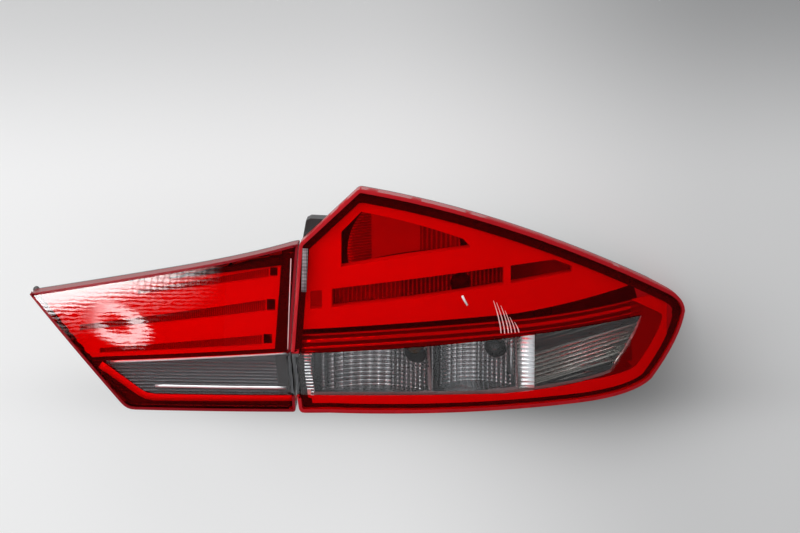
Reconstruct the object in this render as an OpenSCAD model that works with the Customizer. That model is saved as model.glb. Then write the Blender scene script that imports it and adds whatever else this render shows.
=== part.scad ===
// Rear lamp cluster of a saloon car, right-hand side: a wing lamp and a boot-lid lamp
// Millimetres. X runs along the car's tail, -Y is the way the lenses face, +Z is up.
// The outlines are drawn in lamp coordinates: x = 0 at the parting line between the lamps,
// y = 0 at the foremost line of the lenses, z = 0 at their lower corner.
// The model is then moved so that the upper stud seat of the wing lamp is the origin.

/* [Lens faces] */
// Plan radius of the wing lamp's face
outer_plan_r = 640; // [600:10:760]
// Plan radius of the boot-lid lamp's face
inner_plan_r = 1600; // [1400:50:2400]
// Radius of the faces seen from the side
crown_r = 900; // [800:10:1100]
// Height of the crown's centre below the lamps' lower corner
crown_drop = 55; // [40:1:70]
// Thickness of the lens mouldings
lens_t = 3; // [2.4:0.1:3.4]
// Depth of the lens rims from the face to the housing flange
rim_depth = 22; // [20:0.5:26]

/* [Wing lamp outline] */
// Reach of the tip from the parting line
outer_w = 377; // [368:1:386]
// Height of the peak
peak_z = 200; // [194:1:206]
// Distance of the peak from the parting line
peak_x = 55; // [50:1:60]
// Height of the tip's foremost point
nose_z = 66; // [62:1:70]
// Sag of the lower edge below the lower corner
lower_sag = 8.5; // [6:0.5:10]

/* [Boot-lid lamp outline] */
// Reach of the pointed end from the parting line
inner_w = 252; // [244:1:260]
// Height of the pointed end
point_z = 102.5; // [98:0.5:106]
// Distance of the lower left corner from the parting line
heel_x = 160; // [154:1:166]

/* [Parting line] */
// Height of the lamps' upper corners at the parting line
parting_z = 151; // [147:1:155]
// Height of the bend in the parting line, where red changes to clear
bend_z = 53; // [51:0.5:55]
// How far the bend stands towards the boot lid
bend_x = 7.5; // [6:0.5:9]
// Gap between the two lamps
lamp_gap = 0.8; // [0.6:0.1:0.9]
// Extra gap between the lamps at the lower corner
lower_gap = 2.5; // [1:0.5:4]

/* [Housings] */
// Wall of the housings
wall = 2.5; // [2:0.1:3]
// Width of the flange that the lens rim is welded to
flange_w = 8; // [7:0.5:10]
// Distance of the wing lamp's flat back from the foremost line of the lenses
outer_back = 112; // [106:1:120]
// Reach of the wing lamp's deep bulb box from the parting line
box_reach = 244; // [238:1:250]
// Depth of the wing lamp's shallow tip behind its face
tip_depth = 36; // [33:1:40]
// Distance of the boot-lid lamp's flat back from the foremost line of the lenses
inner_back = 74; // [71:1:80]
// Clearance between pieces that seat on each other
seat_gap = 0.2; // [0.1:0.05:0.3]

/* [Studs] */
// Thread diameter of the studs
stud_d = 6; // [5:0.5:8]
// Length of the studs beyond their seats
stud_len = 18; // [14:1:24]
// Diameter of the stud bosses
boss_d = 17; // [15:0.5:20]
// Height of the stud bosses above the back wall
boss_h = 9; // [7:0.5:12]
// Depth that a stud is sunk into its boss
stud_sink = 7; // [6:0.5:9]

/* [Bulbs and holders] */
// Diameter of the bulb holder openings
holder_bore = 26; // [24:0.5:28]
// Height of the collar round each opening
collar_h = 6; // [5:0.5:8]
// Wall of the collars
collar_wall = 4; // [3:0.5:5]
// Diameter of the holders' grip flange
grip_d = 33; // [31:0.5:36]
// Thickness of the holders' grip flange
grip_t = 5; // [4:0.5:6]
// Diameter of the bulb glass
bulb_d = 19; // [17:0.5:20]
// Diameter of the bulb base
base_d = 15; // [14:0.5:16]
// Length of a bulb from its base to the tip of its glass
bulb_len = 48; // [44:1:50]
// Diameter of the boot-lid lamp's smaller bulb
tail_bulb_d = 16; // [15:0.5:17]
// Length of the boot-lid lamp's smaller bulb
tail_bulb_len = 35; // [33:1:38]
// Thickness of the ring seal under a holder
ring_t = 2; // [1.5:0.1:2.5]
// Width of the connector socket
socket_w = 20; // [18:0.5:22]
// Height of the connector socket
socket_h = 12; // [11:0.5:13]
// Depth of the connector socket
socket_deep = 14; // [12:0.5:16]

/* [Inner panels] */
// Depth of the black bezels and light panels behind the faces
panel_depth = 9; // [8:0.5:10]
// Thickness of the inner mouldings
panel_t = 2; // [1.8:0.1:2.4]
// Depth of the ribbed reflectors behind the faces
mirror_depth = 26; // [24:0.5:28]
// Width of the wing lamp's black bezel
outer_bezel_w = 13; // [12:0.5:14]
// Width of the boot-lid lamp's black bezel
inner_bezel_w = 5; // [4.5:0.5:6]
// Width of the wing lamp's lower light band
light_band_w = 11; // [10:0.5:12]
// Pitch of the horizontal flutes in the clear windows
flute_pitch = 3.9; // [3.5:0.1:4.5]
// Pitch of the vertical ribs in the wing lamp's slot
rib_pitch = 4; // [3.5:0.1:5]
// Pitch of the fine ribs in the boot-lid lamp's slots
fine_pitch = 2; // [1.8:0.1:2.6]

/* [Hidden] */
$fn = 48;
face_fn = 360;
curve_steps = 8;
// Reach of a cutting prism or slab past what it cuts
past = 20;
prism_len = 320;
face_low = -30;
face_high = 225;
// Front-view limits of the half-planes and half-spaces
sheet_top = 300;
sheet_low = -100;
block_reach = 500;

// Points of a curve from a to b that leaves and arrives along the lines to c
function curve(a, c, b, n = curve_steps) =
  [for (i = [0:n]) let (t = i / n) (1 - t) * (1 - t) * a + 2 * t * (1 - t) * c + t * t * b];
// Rounded corner at p between its neighbours, which starts a distance r from it
function corner(a, p, b, r, n = 4) = curve(p + r * (a - p) / norm(a - p), p, p + r * (b - p) / norm(b - p), n);
// Distance that the face leans back at height z
function crown_in(z) = crown_r - sqrt(crown_r * crown_r - (z + crown_drop) * (z + crown_drop));
function lean(z) = crown_in(z) - crown_in(0);
// Place of the face, or of a surface at depth d behind it, for a plan radius r
function face_y(r, x, z, d = 0) = r - sqrt(pow(r - lean(z) - d, 2) - x * x);
// Slope of the face at height z
function face_slope(z) = asin((z + crown_drop) / crown_r);

// Corners of the lamps at the parting line, for the wing lamp
half_gap = lamp_gap / 2;
part_top = [half_gap, parting_z];
part_bend = [half_gap - bend_x, bend_z];
part_low = [half_gap, 0];
peak = [peak_x, peak_z];
shoulder = [outer_w - 17, nose_z + 22];
nose = [outer_w, nose_z];
chin = [outer_w - 37, 5];
low_mid = [outer_w - 112, -lower_sag];
low_left = [28, -3];
outer_outline = concat(
  corner(part_bend, part_top, peak, 3),
  corner(part_top, peak, [peak_x + 150, peak_z - 27], 3),
  curve([peak_x + 6, peak_z - 1], [peak_x + 151, peak_z - 27.5], shoulder, 14),
  curve(shoulder, [outer_w - 0.5, nose_z + 12.5], nose, 6),
  curve(nose, [outer_w - 5, nose_z - 26], chin),
  curve(chin, [outer_w - 55, -lower_sag], low_mid),
  curve(low_mid, [outer_w - 227, -lower_sag], low_left),
  corner(low_left, [part_low[0], -3], part_bend, 5),
  [part_bend]);

inner_top = [-half_gap, parting_z];
inner_bend = [-half_gap - bend_x, bend_z];
inner_low = [-half_gap - lower_gap, 0];
point = [-inner_w, point_z];
heel = [-heel_x, -2];
inner_outline = concat(
  [inner_bend],
  corner(inner_bend, [inner_low[0], -2], heel, 3),
  corner(inner_low, heel, point, 8),
  corner(heel, point, [-103, 128.5], 2),
  curve([-103, 128.5], [-45, parting_z - 12], [-8, parting_z - 1.5]),
  corner([-8, parting_z - 1.5], inner_top, inner_bend, 2));

// Clear windows, drawn past the parting line so that the rims change colour there too
window_z = bend_z - 1;
window_top = concat([[-past, window_z]], curve([0, window_z], [170, window_z + 4], [outer_w - 47, nose_z + 2]));
outer_window = concat(
  [[-past, 14]],
  window_top,
  curve([outer_w - 47, nose_z + 2], [outer_w - 53, nose_z - 18], [outer_w - 80, 16.5]),
  curve([outer_w - 80, 16.5], [outer_w - 115, 8.5], [190, 7.7]),
  curve([190, 7.7], [115, 12], [0, 14]));
inner_window = concat(
  [[past, 14], [past, window_z + 1], [-8, window_z + 1], [-181, 43]],
  corner([-181, 43], [-142, 14], [past, 14], 9));

// Lines across the wing lamp's red zone, from left to right
band_low = curve([-past, 103.5], [140, 121], [outer_w - 120, 129]);
bar_top = curve([-past, 88], [130, 99], [outer_w - 80, 119]);
bar_low = concat(curve([-past, 71], [100, 77], [203, 80]), curve([203, 80], [270, 86], [outer_w - 30, 103]));
ridge_top = concat(curve([-past, 66.5], [90, 72], [190, 74], 6),
  curve([190, 74], [270, 75], [outer_w - 20, nose_z + 21], 6));
cavity = concat([[38.5, 128.5], [38.5, 160], [57, 178]],
  curve([57, 178], [105, 169], [152, 151], 6),
  [[159, 143]],
  curve([159, 143], [100, 138], [38.5, 128.5], 4));

// Bulb axes: place along the lamp and height
stop_at = [box_reach - 94, 108];
indicator_at = [box_reach - 137, 45];
reversing_at = [box_reach - 60, 44];
inner_tail_at = [-95, 84];
// Stud axes and the planes of their seats. The wing lamp's tip stud stands beside its bulb box.
tip_stud_at = [box_reach + 24, 72];
outer_stud_at = [[62, 152], [30, 30], tip_stud_at];
inner_stud_at = [[-32, 112], [-195, 86], [-70, 26]];
// The flat back stays behind the curved tip where the two meet
tip_back_y = face_y(outer_plan_r, box_reach, nose_z, tip_depth);
outer_flat = max(outer_back, tip_back_y + boss_h);
outer_seat = outer_flat + boss_h;
inner_seat = inner_back + boss_h;
origin = [outer_stud_at[0][0], outer_seat, outer_stud_at[0][1]];
// Planes of the holder collars
outer_collar = outer_flat + collar_h;
inner_collar = inner_back + collar_h;
outer_bulbs = [stop_at, indicator_at, reversing_at];
// Breather places
outer_vent_at = [box_reach - 22, 110];
inner_vent_at = [-150, 52];
// Screw places of the reflectors
stop_screws = [[24, 113], [222, 100]];
lower_screws = [[52, 64], [228, 67]];
inner_screws = [[-40, 74], [-168, 74]];

black_plastic = "#1c1c1e";
red_lens = "#c4080c";
clear_lens = "#dfe4e6";
silvered = "#c9ccd0";
panel_red = "#e03a34";
foam = "#2b2b2b";
steel = "#9da2a8";

// Cross-section of the shell between two depths behind a face of plan radius r
module section(r, d0, d1) {
  centre = r - sqrt(crown_r * crown_r - crown_drop * crown_drop);
  intersection() {
    difference() {
      translate([centre, -crown_drop]) circle(r = crown_r - d0, $fn = face_fn);
      translate([centre, -crown_drop]) circle(r = crown_r - d1, $fn = face_fn);
    }
    translate([r - lean(face_high) - d1 - past, face_low])
      square([lean(face_high) + d1 + 2 * past, face_high - face_low]);
  }
}

// Shell between two depths, swept along the plan of a lamp
module outer_shell(d0, d1) {
  sweep_left = 3;
  sweep_right = 52;
  translate([0, outer_plan_r, 0]) rotate([0, 0, -90 - sweep_left])
    rotate_extrude(angle = sweep_left + sweep_right, $fn = face_fn) section(outer_plan_r, d0, d1);
}

module inner_shell(d0, d1) {
  sweep_left = 13;
  sweep_right = 1;
  translate([0, inner_plan_r, 0]) rotate([0, 0, -90 - sweep_left])
    rotate_extrude(angle = sweep_left + sweep_right, $fn = 2 * face_fn) section(inner_plan_r, d0, d1);
}

// Prism of a front-view outline through the whole depth
module through() {
  translate([0, prism_len - past, 0]) rotate([90, 0, 0]) linear_extrude(prism_len) children();
}

module outer_part(d0, d1) {
  intersection() {
    outer_shell(d0, d1);
    through() children();
  }
}

module inner_part(d0, d1) {
  intersection() {
    inner_shell(d0, d1);
    through() children();
  }
}

module outer_face(inset = 0) { offset(delta = -inset) polygon(outer_outline); }
module inner_face(inset = 0) { offset(delta = -inset) polygon(inner_outline); }

// Cylinder along Y from y0 to y1 at the place at
module rod(at, d, y0, y1) {
  translate([at[0], y0, at[1]]) rotate([-90, 0, 0]) cylinder(h = y1 - y0, d = d);
}

// Half-plane of the front view between a line of points and a height
module beyond(line, z) { polygon(concat(line, [[line[len(line) - 1][0], z], [line[0][0], z]])); }
module above(line) { beyond(line, sheet_top); }
module below(line) { beyond(line, sheet_low); }

module framed() { translate(-origin) children(); }

// Lens mouldings
module outer_lens() {
  difference() {
    outer_part(0, rim_depth) outer_face();
    outer_part(lens_t, rim_depth + past) outer_face(lens_t);
  }
}

module inner_lens() {
  difference() {
    inner_part(0, rim_depth) inner_face();
    inner_part(lens_t, rim_depth + past) inner_face(lens_t);
  }
}

module outer_lens_red() {
  color(red_lens) framed() difference() {
    outer_lens();
    through() polygon(outer_window);
  }
}

module outer_lens_clear() {
  color(clear_lens) framed() intersection() {
    outer_lens();
    through() polygon(outer_window);
  }
}

module inner_lens_red() {
  color(red_lens) framed() difference() {
    inner_lens();
    through() polygon(inner_window);
  }
}

module inner_lens_clear() {
  color(clear_lens) framed() intersection() {
    inner_lens();
    through() polygon(inner_window);
  }
}

// Zones inside the bezels. The wing lamp's bezel is narrower below and on the left,
// the boot-lid lamp's is wider on the right.
module outer_zone(inset = 0) {
  low_w = 7;
  left_w = 9;
  intersection() {
    offset(delta = -outer_bezel_w - inset) {
      polygon(outer_outline);
      translate([0, low_w - outer_bezel_w]) polygon(outer_outline);
      translate([left_w - outer_bezel_w, 0]) polygon(outer_outline);
    }
    outer_face(low_w + inset);
  }
}

module inner_zone(inset = 0) {
  right_w = 14.5;
  intersection() {
    inner_face(inner_bezel_w + inset);
    translate([inner_bezel_w - right_w, 0]) inner_face(inner_bezel_w + inset);
  }
}

// Housings: a flange behind the lens rim, a tray, bosses, collars and screw posts
flange_front = rim_depth + seat_gap;
deep = 150;
vent_bore = 8;
vent_boss_d = 18;
vent_boss_h = 3;
vent_cap_d = 16;
vent_cap_t = 5;
post_d = 11;
screw_d = 3.5;
screw_head_d = 7;
screw_head_t = 2.2;
screw_len = 16;
pad_t = 4;
sunk_floor = 4;
sunk_grip = 9;
stud_bore = stud_d + 2 * seat_gap;
head_d = 11;
head_t = 2;

// Planes where a reflector's pad meets the housing's post
stop_pads = [for (p = stop_screws) [p, face_y(outer_plan_r, p[0], p[1], mirror_depth + panel_t) + pad_t]];
lower_pads = [for (p = lower_screws) [p, outer_flat - 30]];
inner_pads = [for (p = inner_screws) [p, inner_back - 12]];

// Everything in front of the plane y
module before(y) {
  intersection() {
    children();
    translate([-block_reach, y - block_reach, -block_reach])
      cube([2 * block_reach, block_reach, 2 * block_reach]);
  }
}

module stud_seats(places, seat) {
  for (p = places) {
    rod(p, stud_bore, seat - stud_sink - seat_gap, seat + past);
    rod(p, head_d + 2 * seat_gap, seat - head_t, seat + past);
  }
}

module post_holes(pad_list) {
  for (p = pad_list) rod(p[0], screw_d + 2 * seat_gap, p[1] - past, p[1] + screw_len);
}

module sunk_holes(pad_list) {
  for (p = pad_list) {
    rod(p[0], screw_d + 2 * seat_gap, p[1] - past, p[1] + sunk_floor + past);
    rod(p[0], screw_head_d + 2 * seat_gap, p[1] + sunk_floor, outer_flat + past);
  }
}

// Block behind the wing lamp's upper left edge that locates it in the body
module locating_block() {
  block_y = face_y(outer_plan_r, 10, parting_z, rim_depth) + 10;
  block_t = 26;
  translate([0, block_y + block_t, 0]) rotate([90, 0, 0]) linear_extrude(block_t)
    polygon([[1, parting_z - 4], [5, parting_z + 17], [9, parting_z + 19], [30, parting_z + 18],
      [44, parting_z + 8], [44, parting_z - 20], [14, parting_z - 20]]);
}

module box_outline(inset = 0) {
  intersection() {
    outer_face(flange_w + inset);
    translate([-past, sheet_low]) square([past + box_reach - inset, sheet_top - sheet_low]);
  }
}

module outer_housing() {
  color(black_plastic) framed() difference() {
    union() {
      difference() {
        union() {
          outer_part(flange_front, flange_front + wall) outer_face();
          outer_part(flange_front, tip_depth) outer_face(flange_w);
          before(outer_flat) outer_part(flange_front, deep) box_outline();
          for (at = outer_bulbs)
            rod(at, holder_bore + 2 * collar_wall, outer_flat - wall, outer_collar);
          rod(outer_vent_at, vent_boss_d, outer_flat - wall, outer_flat + vent_boss_h);
          locating_block();
        }
        outer_part(flange_front - past, tip_depth - wall) outer_face(flange_w + wall);
        before(outer_flat - wall) outer_part(flange_front - past, deep + past) box_outline(wall);
      }
      for (p = concat(stop_pads, lower_pads)) rod(p[0], post_d, p[1] + seat_gap, outer_flat - wall / 2);
      for (p = outer_stud_at) rod(p, boss_d, outer_seat - stud_sink - 2 * wall, outer_seat);
      // The last boss stands on the tip's curved back
      intersection() {
        rod(tip_stud_at, boss_d, outer_flat - past, outer_seat);
        outer_shell(tip_depth - wall / 2, deep);
      }
    }
    for (at = outer_bulbs) rod(at, holder_bore, outer_flat - past, outer_collar + past);
    stud_seats(outer_stud_at, outer_seat);
    post_holes(stop_pads);
    sunk_holes(lower_pads);
    rod(outer_vent_at, vent_bore, outer_flat - past, outer_flat + past);
  }
}

// Small lugs of the flange that show past the lens at the lamp's pointed end and heel
module corner_lugs() {
  lug_r = 3;
  inner_part(flange_front, flange_front + wall) {
    translate(point + [1.5, -0.5]) circle(r = lug_r);
    translate(heel + [0.5, 1.5]) circle(r = lug_r);
  }
}

module inner_housing() {
  color(black_plastic) framed() difference() {
    union() {
      difference() {
        union() {
          inner_part(flange_front, flange_front + wall) inner_face();
          before(inner_back) inner_part(flange_front, deep) inner_face(flange_w);
          rod(inner_tail_at, holder_bore + 2 * collar_wall, inner_back - wall, inner_collar);
          rod(inner_vent_at, vent_boss_d, inner_back - wall, inner_back + vent_boss_h);
          corner_lugs();
        }
        before(inner_back - wall) inner_part(flange_front - past, deep + past) inner_face(flange_w + wall);
      }
      for (p = inner_pads) rod(p[0], post_d, p[1] + seat_gap, inner_back - wall / 2);
      for (p = inner_stud_at) rod(p, boss_d, inner_seat - stud_sink - 2 * wall, inner_seat);
    }
    rod(inner_tail_at, holder_bore, inner_back - past, inner_collar + past);
    stud_seats(inner_stud_at, inner_seat);
    post_holes(inner_pads);
    rod(inner_vent_at, vent_bore, inner_back - past, inner_back + past);
  }
}

// Black bezels: a ring behind the lens with a skirt that stands on the housing's flange
bezel_clear = 0.6;
skirt_t = 1.8;

module outer_bezel() {
  color(black_plastic) framed() difference() {
    outer_part(panel_depth, rim_depth) outer_face(lens_t + bezel_clear);
    outer_part(panel_depth + panel_t, rim_depth + past) outer_face(lens_t + bezel_clear + skirt_t);
    through() outer_zone();
  }
}

module inner_bezel() {
  color(black_plastic) framed() difference() {
    inner_part(panel_depth, rim_depth) inner_face(lens_t + bezel_clear);
    inner_part(panel_depth + panel_t, rim_depth + past) inner_face(lens_t + bezel_clear + skirt_t);
    through() inner_zone();
  }
}

// Wing lamp's light panel: the smooth bands in front of the stop reflector, with a slot
// and a cavity whose walls run back to the reflector
panel_clear = 0.3;
tray_clear = flange_w + wall + panel_clear;
// Left and right ends of the slot's small window, of its ribbed one and of its smooth end
slot_start = [10, 21];
slot_ribbed = [30, 190];
slot_smooth = [197, 271];
slot_slope = [[slot_smooth[0], 140], [236, 129], [slot_smooth[1], 114.5]];

module slot_span(ends, inset = 0) {
  offset(delta = -inset) intersection() {
    above(bar_top);
    below(band_low);
    translate([ends[0], 0]) square([ends[1] - ends[0], sheet_top]);
  }
}

module slots() {
  slot_span(slot_start);
  slot_span(slot_ribbed);
  intersection() {
    slot_span(slot_smooth);
    below(slot_slope);
  }
}

module panel_outline() {
  intersection() {
    outer_zone(panel_clear);
    above(bar_low);
  }
}

module outer_light_panel() {
  color(panel_red) framed() difference() {
    union() {
      outer_part(panel_depth, panel_depth + panel_t) panel_outline();
      outer_part(panel_depth, mirror_depth - seat_gap) intersection() {
        panel_outline();
        offset(delta = panel_t) {
          polygon(cavity);
          slots();
        }
        outer_face(tray_clear);
      }
    }
    through() {
      polygon(cavity);
      slots();
    }
  }
}

// Point in plan at a depth behind the wing lamp's face
function on_face(x, z, d) = [x, face_y(outer_plan_r, x, z, d)];
// Centre and radius of a dish through two edge points in plan, a sag deep
function dish(a, b, sag) =
  let (half = norm(b - a) / 2, r = (half * half + sag * sag) / (2 * sag),
    inward = [-(b - a)[1], (b - a)[0]] / norm(b - a))
  [(a + b) / 2 + inward * (sag - r), r];

module pad_holes(pad_list) {
  for (p = pad_list) {
    rod(p[0], screw_d + 2 * seat_gap, p[1] - past, p[1] + 1);
    rod(p[0], screw_head_d + 2 * seat_gap, p[1] - 90, p[1] - pad_t);
  }
}

// Stop reflector: a ribbed plate behind the slot and a dish behind the cavity
stop_dish_z = 152;
stop_dish_depth = 14.3;
stop_dish = dish(on_face(38, stop_dish_z, stop_dish_depth), on_face(159, stop_dish_z, stop_dish_depth), 28);
bulb_hole_d = 20;

module dish_ball(grow) {
  translate([stop_dish[0][0], stop_dish[0][1], stop_dish_z]) sphere(r = stop_dish[1] + grow, $fn = 240);
}

module outer_stop_reflector() {
  rib_w = 1.6;
  rib_h = 2;
  color(silvered) framed() difference() {
    union() {
      outer_part(mirror_depth, mirror_depth + panel_t) difference() {
        intersection() {
          panel_outline();
          outer_face(tray_clear);
        }
        polygon(cavity);
      }
      outer_part(mirror_depth - rib_h, mirror_depth + panel_t / 2) intersection() {
        slot_span(slot_ribbed, panel_clear);
        for (x = [slot_ribbed[0] + 2:rib_pitch:slot_ribbed[1] - rib_w])
          translate([x, bend_z]) square([rib_w, peak_z - bend_z]);
      }
      intersection() {
        difference() {
          dish_ball(panel_t);
          dish_ball(0);
        }
        outer_part(mirror_depth, deep) offset(delta = panel_t) polygon(cavity);
      }
      intersection() {
        for (p = stop_pads) rod(p[0], post_d, p[1] - past, p[1]);
        outer_shell(mirror_depth + panel_t / 2, deep);
      }
    }
    rod(stop_at, bulb_hole_d, -past, outer_flat);
    pad_holes(stop_pads);
  }
}

// Lower reflector: a face plate round the clear window, two fluted dishes and a fluted wing
window_rim = 1;
window_skirt = 9;
// Distances of the long steps' edges below the ridge's upper line
ridge_steps = [[0, 1.6], [5, 8], [11.5, 13.5]];
ridge_rise = 1.6;
step_clear = 1.5;
dish_low = 10;
dish_high = 58;
dish_z = (dish_low + dish_high) / 2;
dish_depth = panel_depth + panel_t + window_rim;
indicator_dish = dish(on_face(11, dish_z, dish_depth), on_face(119, dish_z, dish_depth), 34);
reversing_dish = dish(on_face(123, dish_z, dish_depth), on_face(202, dish_z, dish_depth), 33);
wing_from = on_face(203, bend_z, dish_depth);
wing_to = on_face(outer_w - 45, bend_z, dish_depth);
flute_sag = 0.9;
flute_r = (flute_pitch * flute_pitch / 4 + flute_sag * flute_sag) / (2 * flute_sag);

module window_opening(grow = 0) {
  offset(delta = grow) intersection() {
    offset(delta = -window_rim) polygon(outer_window);
    polygon([[9.5, 90], [9.5, 50], [15, 5], [outer_w, 5], [outer_w, 90]]);
  }
}

// Half-round space of a dish about a vertical axis, with horizontal flutes unless it is grown
module dish_space(d, grow) {
  count = ceil((dish_high - dish_low) / flute_pitch);
  translate([d[0][0], d[0][1], 0]) rotate_extrude(angle = 180, $fn = 180) {
    translate([0, dish_low - grow]) square([d[1] + grow - flute_sag, dish_high - dish_low + 2 * grow]);
    if (grow == 0) intersection() {
      for (i = [0:count - 1])
        translate([d[1] - flute_r, dish_low + (i + 0.5) * flute_pitch]) circle(r = flute_r, $fn = 48);
      translate([d[1] - 2 * flute_sag, dish_low]) square([2 * flute_sag, dish_high - dish_low]);
    }
  }
}

module fluted_dish(d) {
  difference() {
    dish_space(d, panel_t);
    dish_space(d, 0);
  }
}

// Flat fluted mirror between the reversing dish and the tip, its flutes rising to the right
module fluted_wing() {
  run = norm(wing_to - wing_from);
  turn = atan2(wing_to[1] - wing_from[1], wing_to[0] - wing_from[0]);
  rise = 9;
  wing_t = 3;
  translate([wing_from[0], wing_from[1], 0]) rotate([0, -rise, turn]) difference() {
    translate([0, 0, -30]) cube([run, wing_t, 110]);
    for (i = [-7:20]) translate([-past, flute_sag - flute_r, i * flute_pitch]) rotate([0, 90, 0])
      cylinder(h = run + 2 * past, r = flute_r);
  }
}

// Zone of the light band, which runs under the window and up the tip
module band_zone(grow = 0) {
  band_left = 5;
  band_top = 16;
  band_turn = 70;
  difference() {
    intersection() {
      outer_zone(panel_clear - grow);
      translate([0, grow]) below(ridge_top);
      union() {
        translate([band_left - grow, sheet_low]) square([outer_w, band_top + grow - sheet_low]);
        translate([outer_w - band_turn - grow, sheet_low]) square([outer_w, peak_z - sheet_low]);
      }
    }
    outer_zone(panel_clear + light_band_w + grow);
    window_opening(1.5 * panel_t + panel_clear - grow);
  }
}

module outer_light_band() {
  band_t = 3;
  color(panel_red) framed() outer_part(panel_depth - 1, panel_depth - 1 + band_t) band_zone();
}

module outer_lower_reflector() {
  color(silvered) framed() difference() {
    union() {
      outer_part(panel_depth, panel_depth + panel_t) difference() {
        intersection() {
          outer_zone(panel_clear);
          below(ridge_top);
        }
        window_opening();
      }
      // Long steps under the ridge
      for (step = ridge_steps)
        outer_part(panel_depth - ridge_rise, panel_depth + panel_t / 2) intersection() {
          outer_zone(panel_clear);
          translate([0, -step[0]]) below(ridge_top);
          translate([0, -step[1]]) above(ridge_top);
          translate([0, step_clear]) above(window_top);
        }
      outer_part(panel_depth, panel_depth + window_skirt) difference() {
        intersection() {
          window_opening(panel_t);
          outer_zone(panel_clear);
        }
        window_opening();
      }
      intersection() {
        union() {
          fluted_dish(indicator_dish);
          fluted_dish(reversing_dish);
        }
        outer_shell(panel_depth + panel_t / 2, deep);
      }
      intersection() {
        fluted_wing();
        through() window_opening(panel_t / 2);
      }
      intersection() {
        for (p = lower_pads) rod(p[0], post_d, -past, p[1]);
        outer_shell(panel_depth + panel_t / 2, deep);
      }
    }
    rod(indicator_at, bulb_hole_d, wing_from[1] - 2 * past, outer_flat);
    rod(reversing_at, bulb_hole_d, wing_from[1] - past / 2, outer_flat);
    for (p = lower_pads) rod(p[0], screw_d + 2 * seat_gap, p[1] - sunk_grip - 1, p[1] + past);
    // Room for the light band
    outer_part(panel_depth - ridge_rise - 1, panel_depth + panel_t + panel_clear) band_zone(panel_clear);
  }
}

// Self-tapping screws that hold the reflectors
module screws(pad_list) {
  for (p = pad_list) {
    rod(p[0], screw_head_d, p[1] - pad_t - screw_head_t, p[1] - pad_t);
    rod(p[0], screw_d, p[1] - pad_t, p[1] - pad_t + screw_len);
  }
}

// The lower reflector's screws come from behind, with their heads deep in the housing's posts
module sunk_screws(pad_list) {
  for (p = pad_list) {
    rod(p[0], screw_head_d, p[1] + sunk_floor, p[1] + sunk_floor + screw_head_t);
    rod(p[0], screw_d, p[1] - sunk_grip, p[1] + sunk_floor);
  }
}

module outer_reflector_screws() {
  color(steel) framed() {
    screws(stop_pads);
    sunk_screws(lower_pads);
  }
}

module inner_reflector_screws() { color(steel) framed() screws(inner_pads); }

// Foam gaskets on the flat backs.
// They stand a little higher than the stud seats, and are pressed down to them by the nuts
gasket_t = boss_h + 2;

module gasket(back) {
  translate([0, back + gasket_t, 0]) rotate([90, 0, 0]) linear_extrude(gasket_t - seat_gap) children();
}

module outer_gasket() {
  color(foam) framed() gasket(outer_flat) difference() {
    box_outline(3);
    box_outline(10);
  }
}

module inner_gasket() {
  color(foam) framed() gasket(inner_back) difference() {
    inner_face(flange_w + 2);
    inner_face(flange_w + 8);
  }
}

// Studs: a threaded shank with a round head sunk in the boss
module studs(places, seat) {
  for (p = places) {
    rod(p, stud_d, seat - stud_sink, seat + stud_len);
    rod(p, head_d, seat - head_t + seat_gap / 2, seat - seat_gap / 2);
  }
}

module outer_studs() { color(steel) framed() studs(outer_stud_at, outer_seat); }
module inner_studs() { color(steel) framed() studs(inner_stud_at, inner_seat); }

// Breather caps: a stem in the vent boss under a round cap
module breather(at, back) {
  boss_face = back + vent_boss_h;
  difference() {
    union() {
      rod(at, vent_bore - 2 * seat_gap, back - wall, boss_face + 1);
      rod(at, vent_cap_d, boss_face + seat_gap, boss_face + vent_cap_t);
    }
    rod(at, 4, back - past, boss_face + vent_cap_t - 1.5);
  }
}

module outer_vent() { color(black_plastic) framed() breather(outer_vent_at, outer_flat); }
module inner_vent() { color(black_plastic) framed() breather(inner_vent_at, inner_back); }

// Bulbs: a metal base and a pear-shaped glass, on an axis along Y, glass towards the lens
base_len = 16;
base_sink = 4;

module bulb(at, collar, d, length) {
  neck = base_len + length / 8;
  neck_r = base_d / 2 - 1.2;
  glass_r = d / 2;
  widest = length - glass_r * 1.4;
  translate([at[0], collar - base_sink, at[1]]) rotate([90, 0, 0]) rotate_extrude($fn = 96) {
    square([base_d / 2, base_len]);
    polygon([[0, base_len - 1], [neck_r, base_len - 1], [neck_r, neck], [glass_r * 0.92, widest], [0, widest]]);
    intersection() {
      translate([0, length - glass_r]) circle(r = glass_r, $fn = 96);
      translate([0, neck]) square([glass_r, length]);
    }
  }
}

module stop_bulb() { color(clear_lens) framed() bulb(stop_at, outer_collar, bulb_d, bulb_len); }
module indicator_bulb() { color("orange") framed() bulb(indicator_at, outer_collar, bulb_d, bulb_len); }
module reversing_bulb() { color(clear_lens) framed() bulb(reversing_at, outer_collar, bulb_d, bulb_len); }
module inner_tail_bulb() { color(clear_lens) framed() bulb(inner_tail_at, inner_collar, tail_bulb_d, tail_bulb_len); }

// Bulb holders: a plug in the collar, a grip flange and a connector socket
plug_len = 12;
plug_wall = 2;
socket_wall = 1.6;

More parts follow.
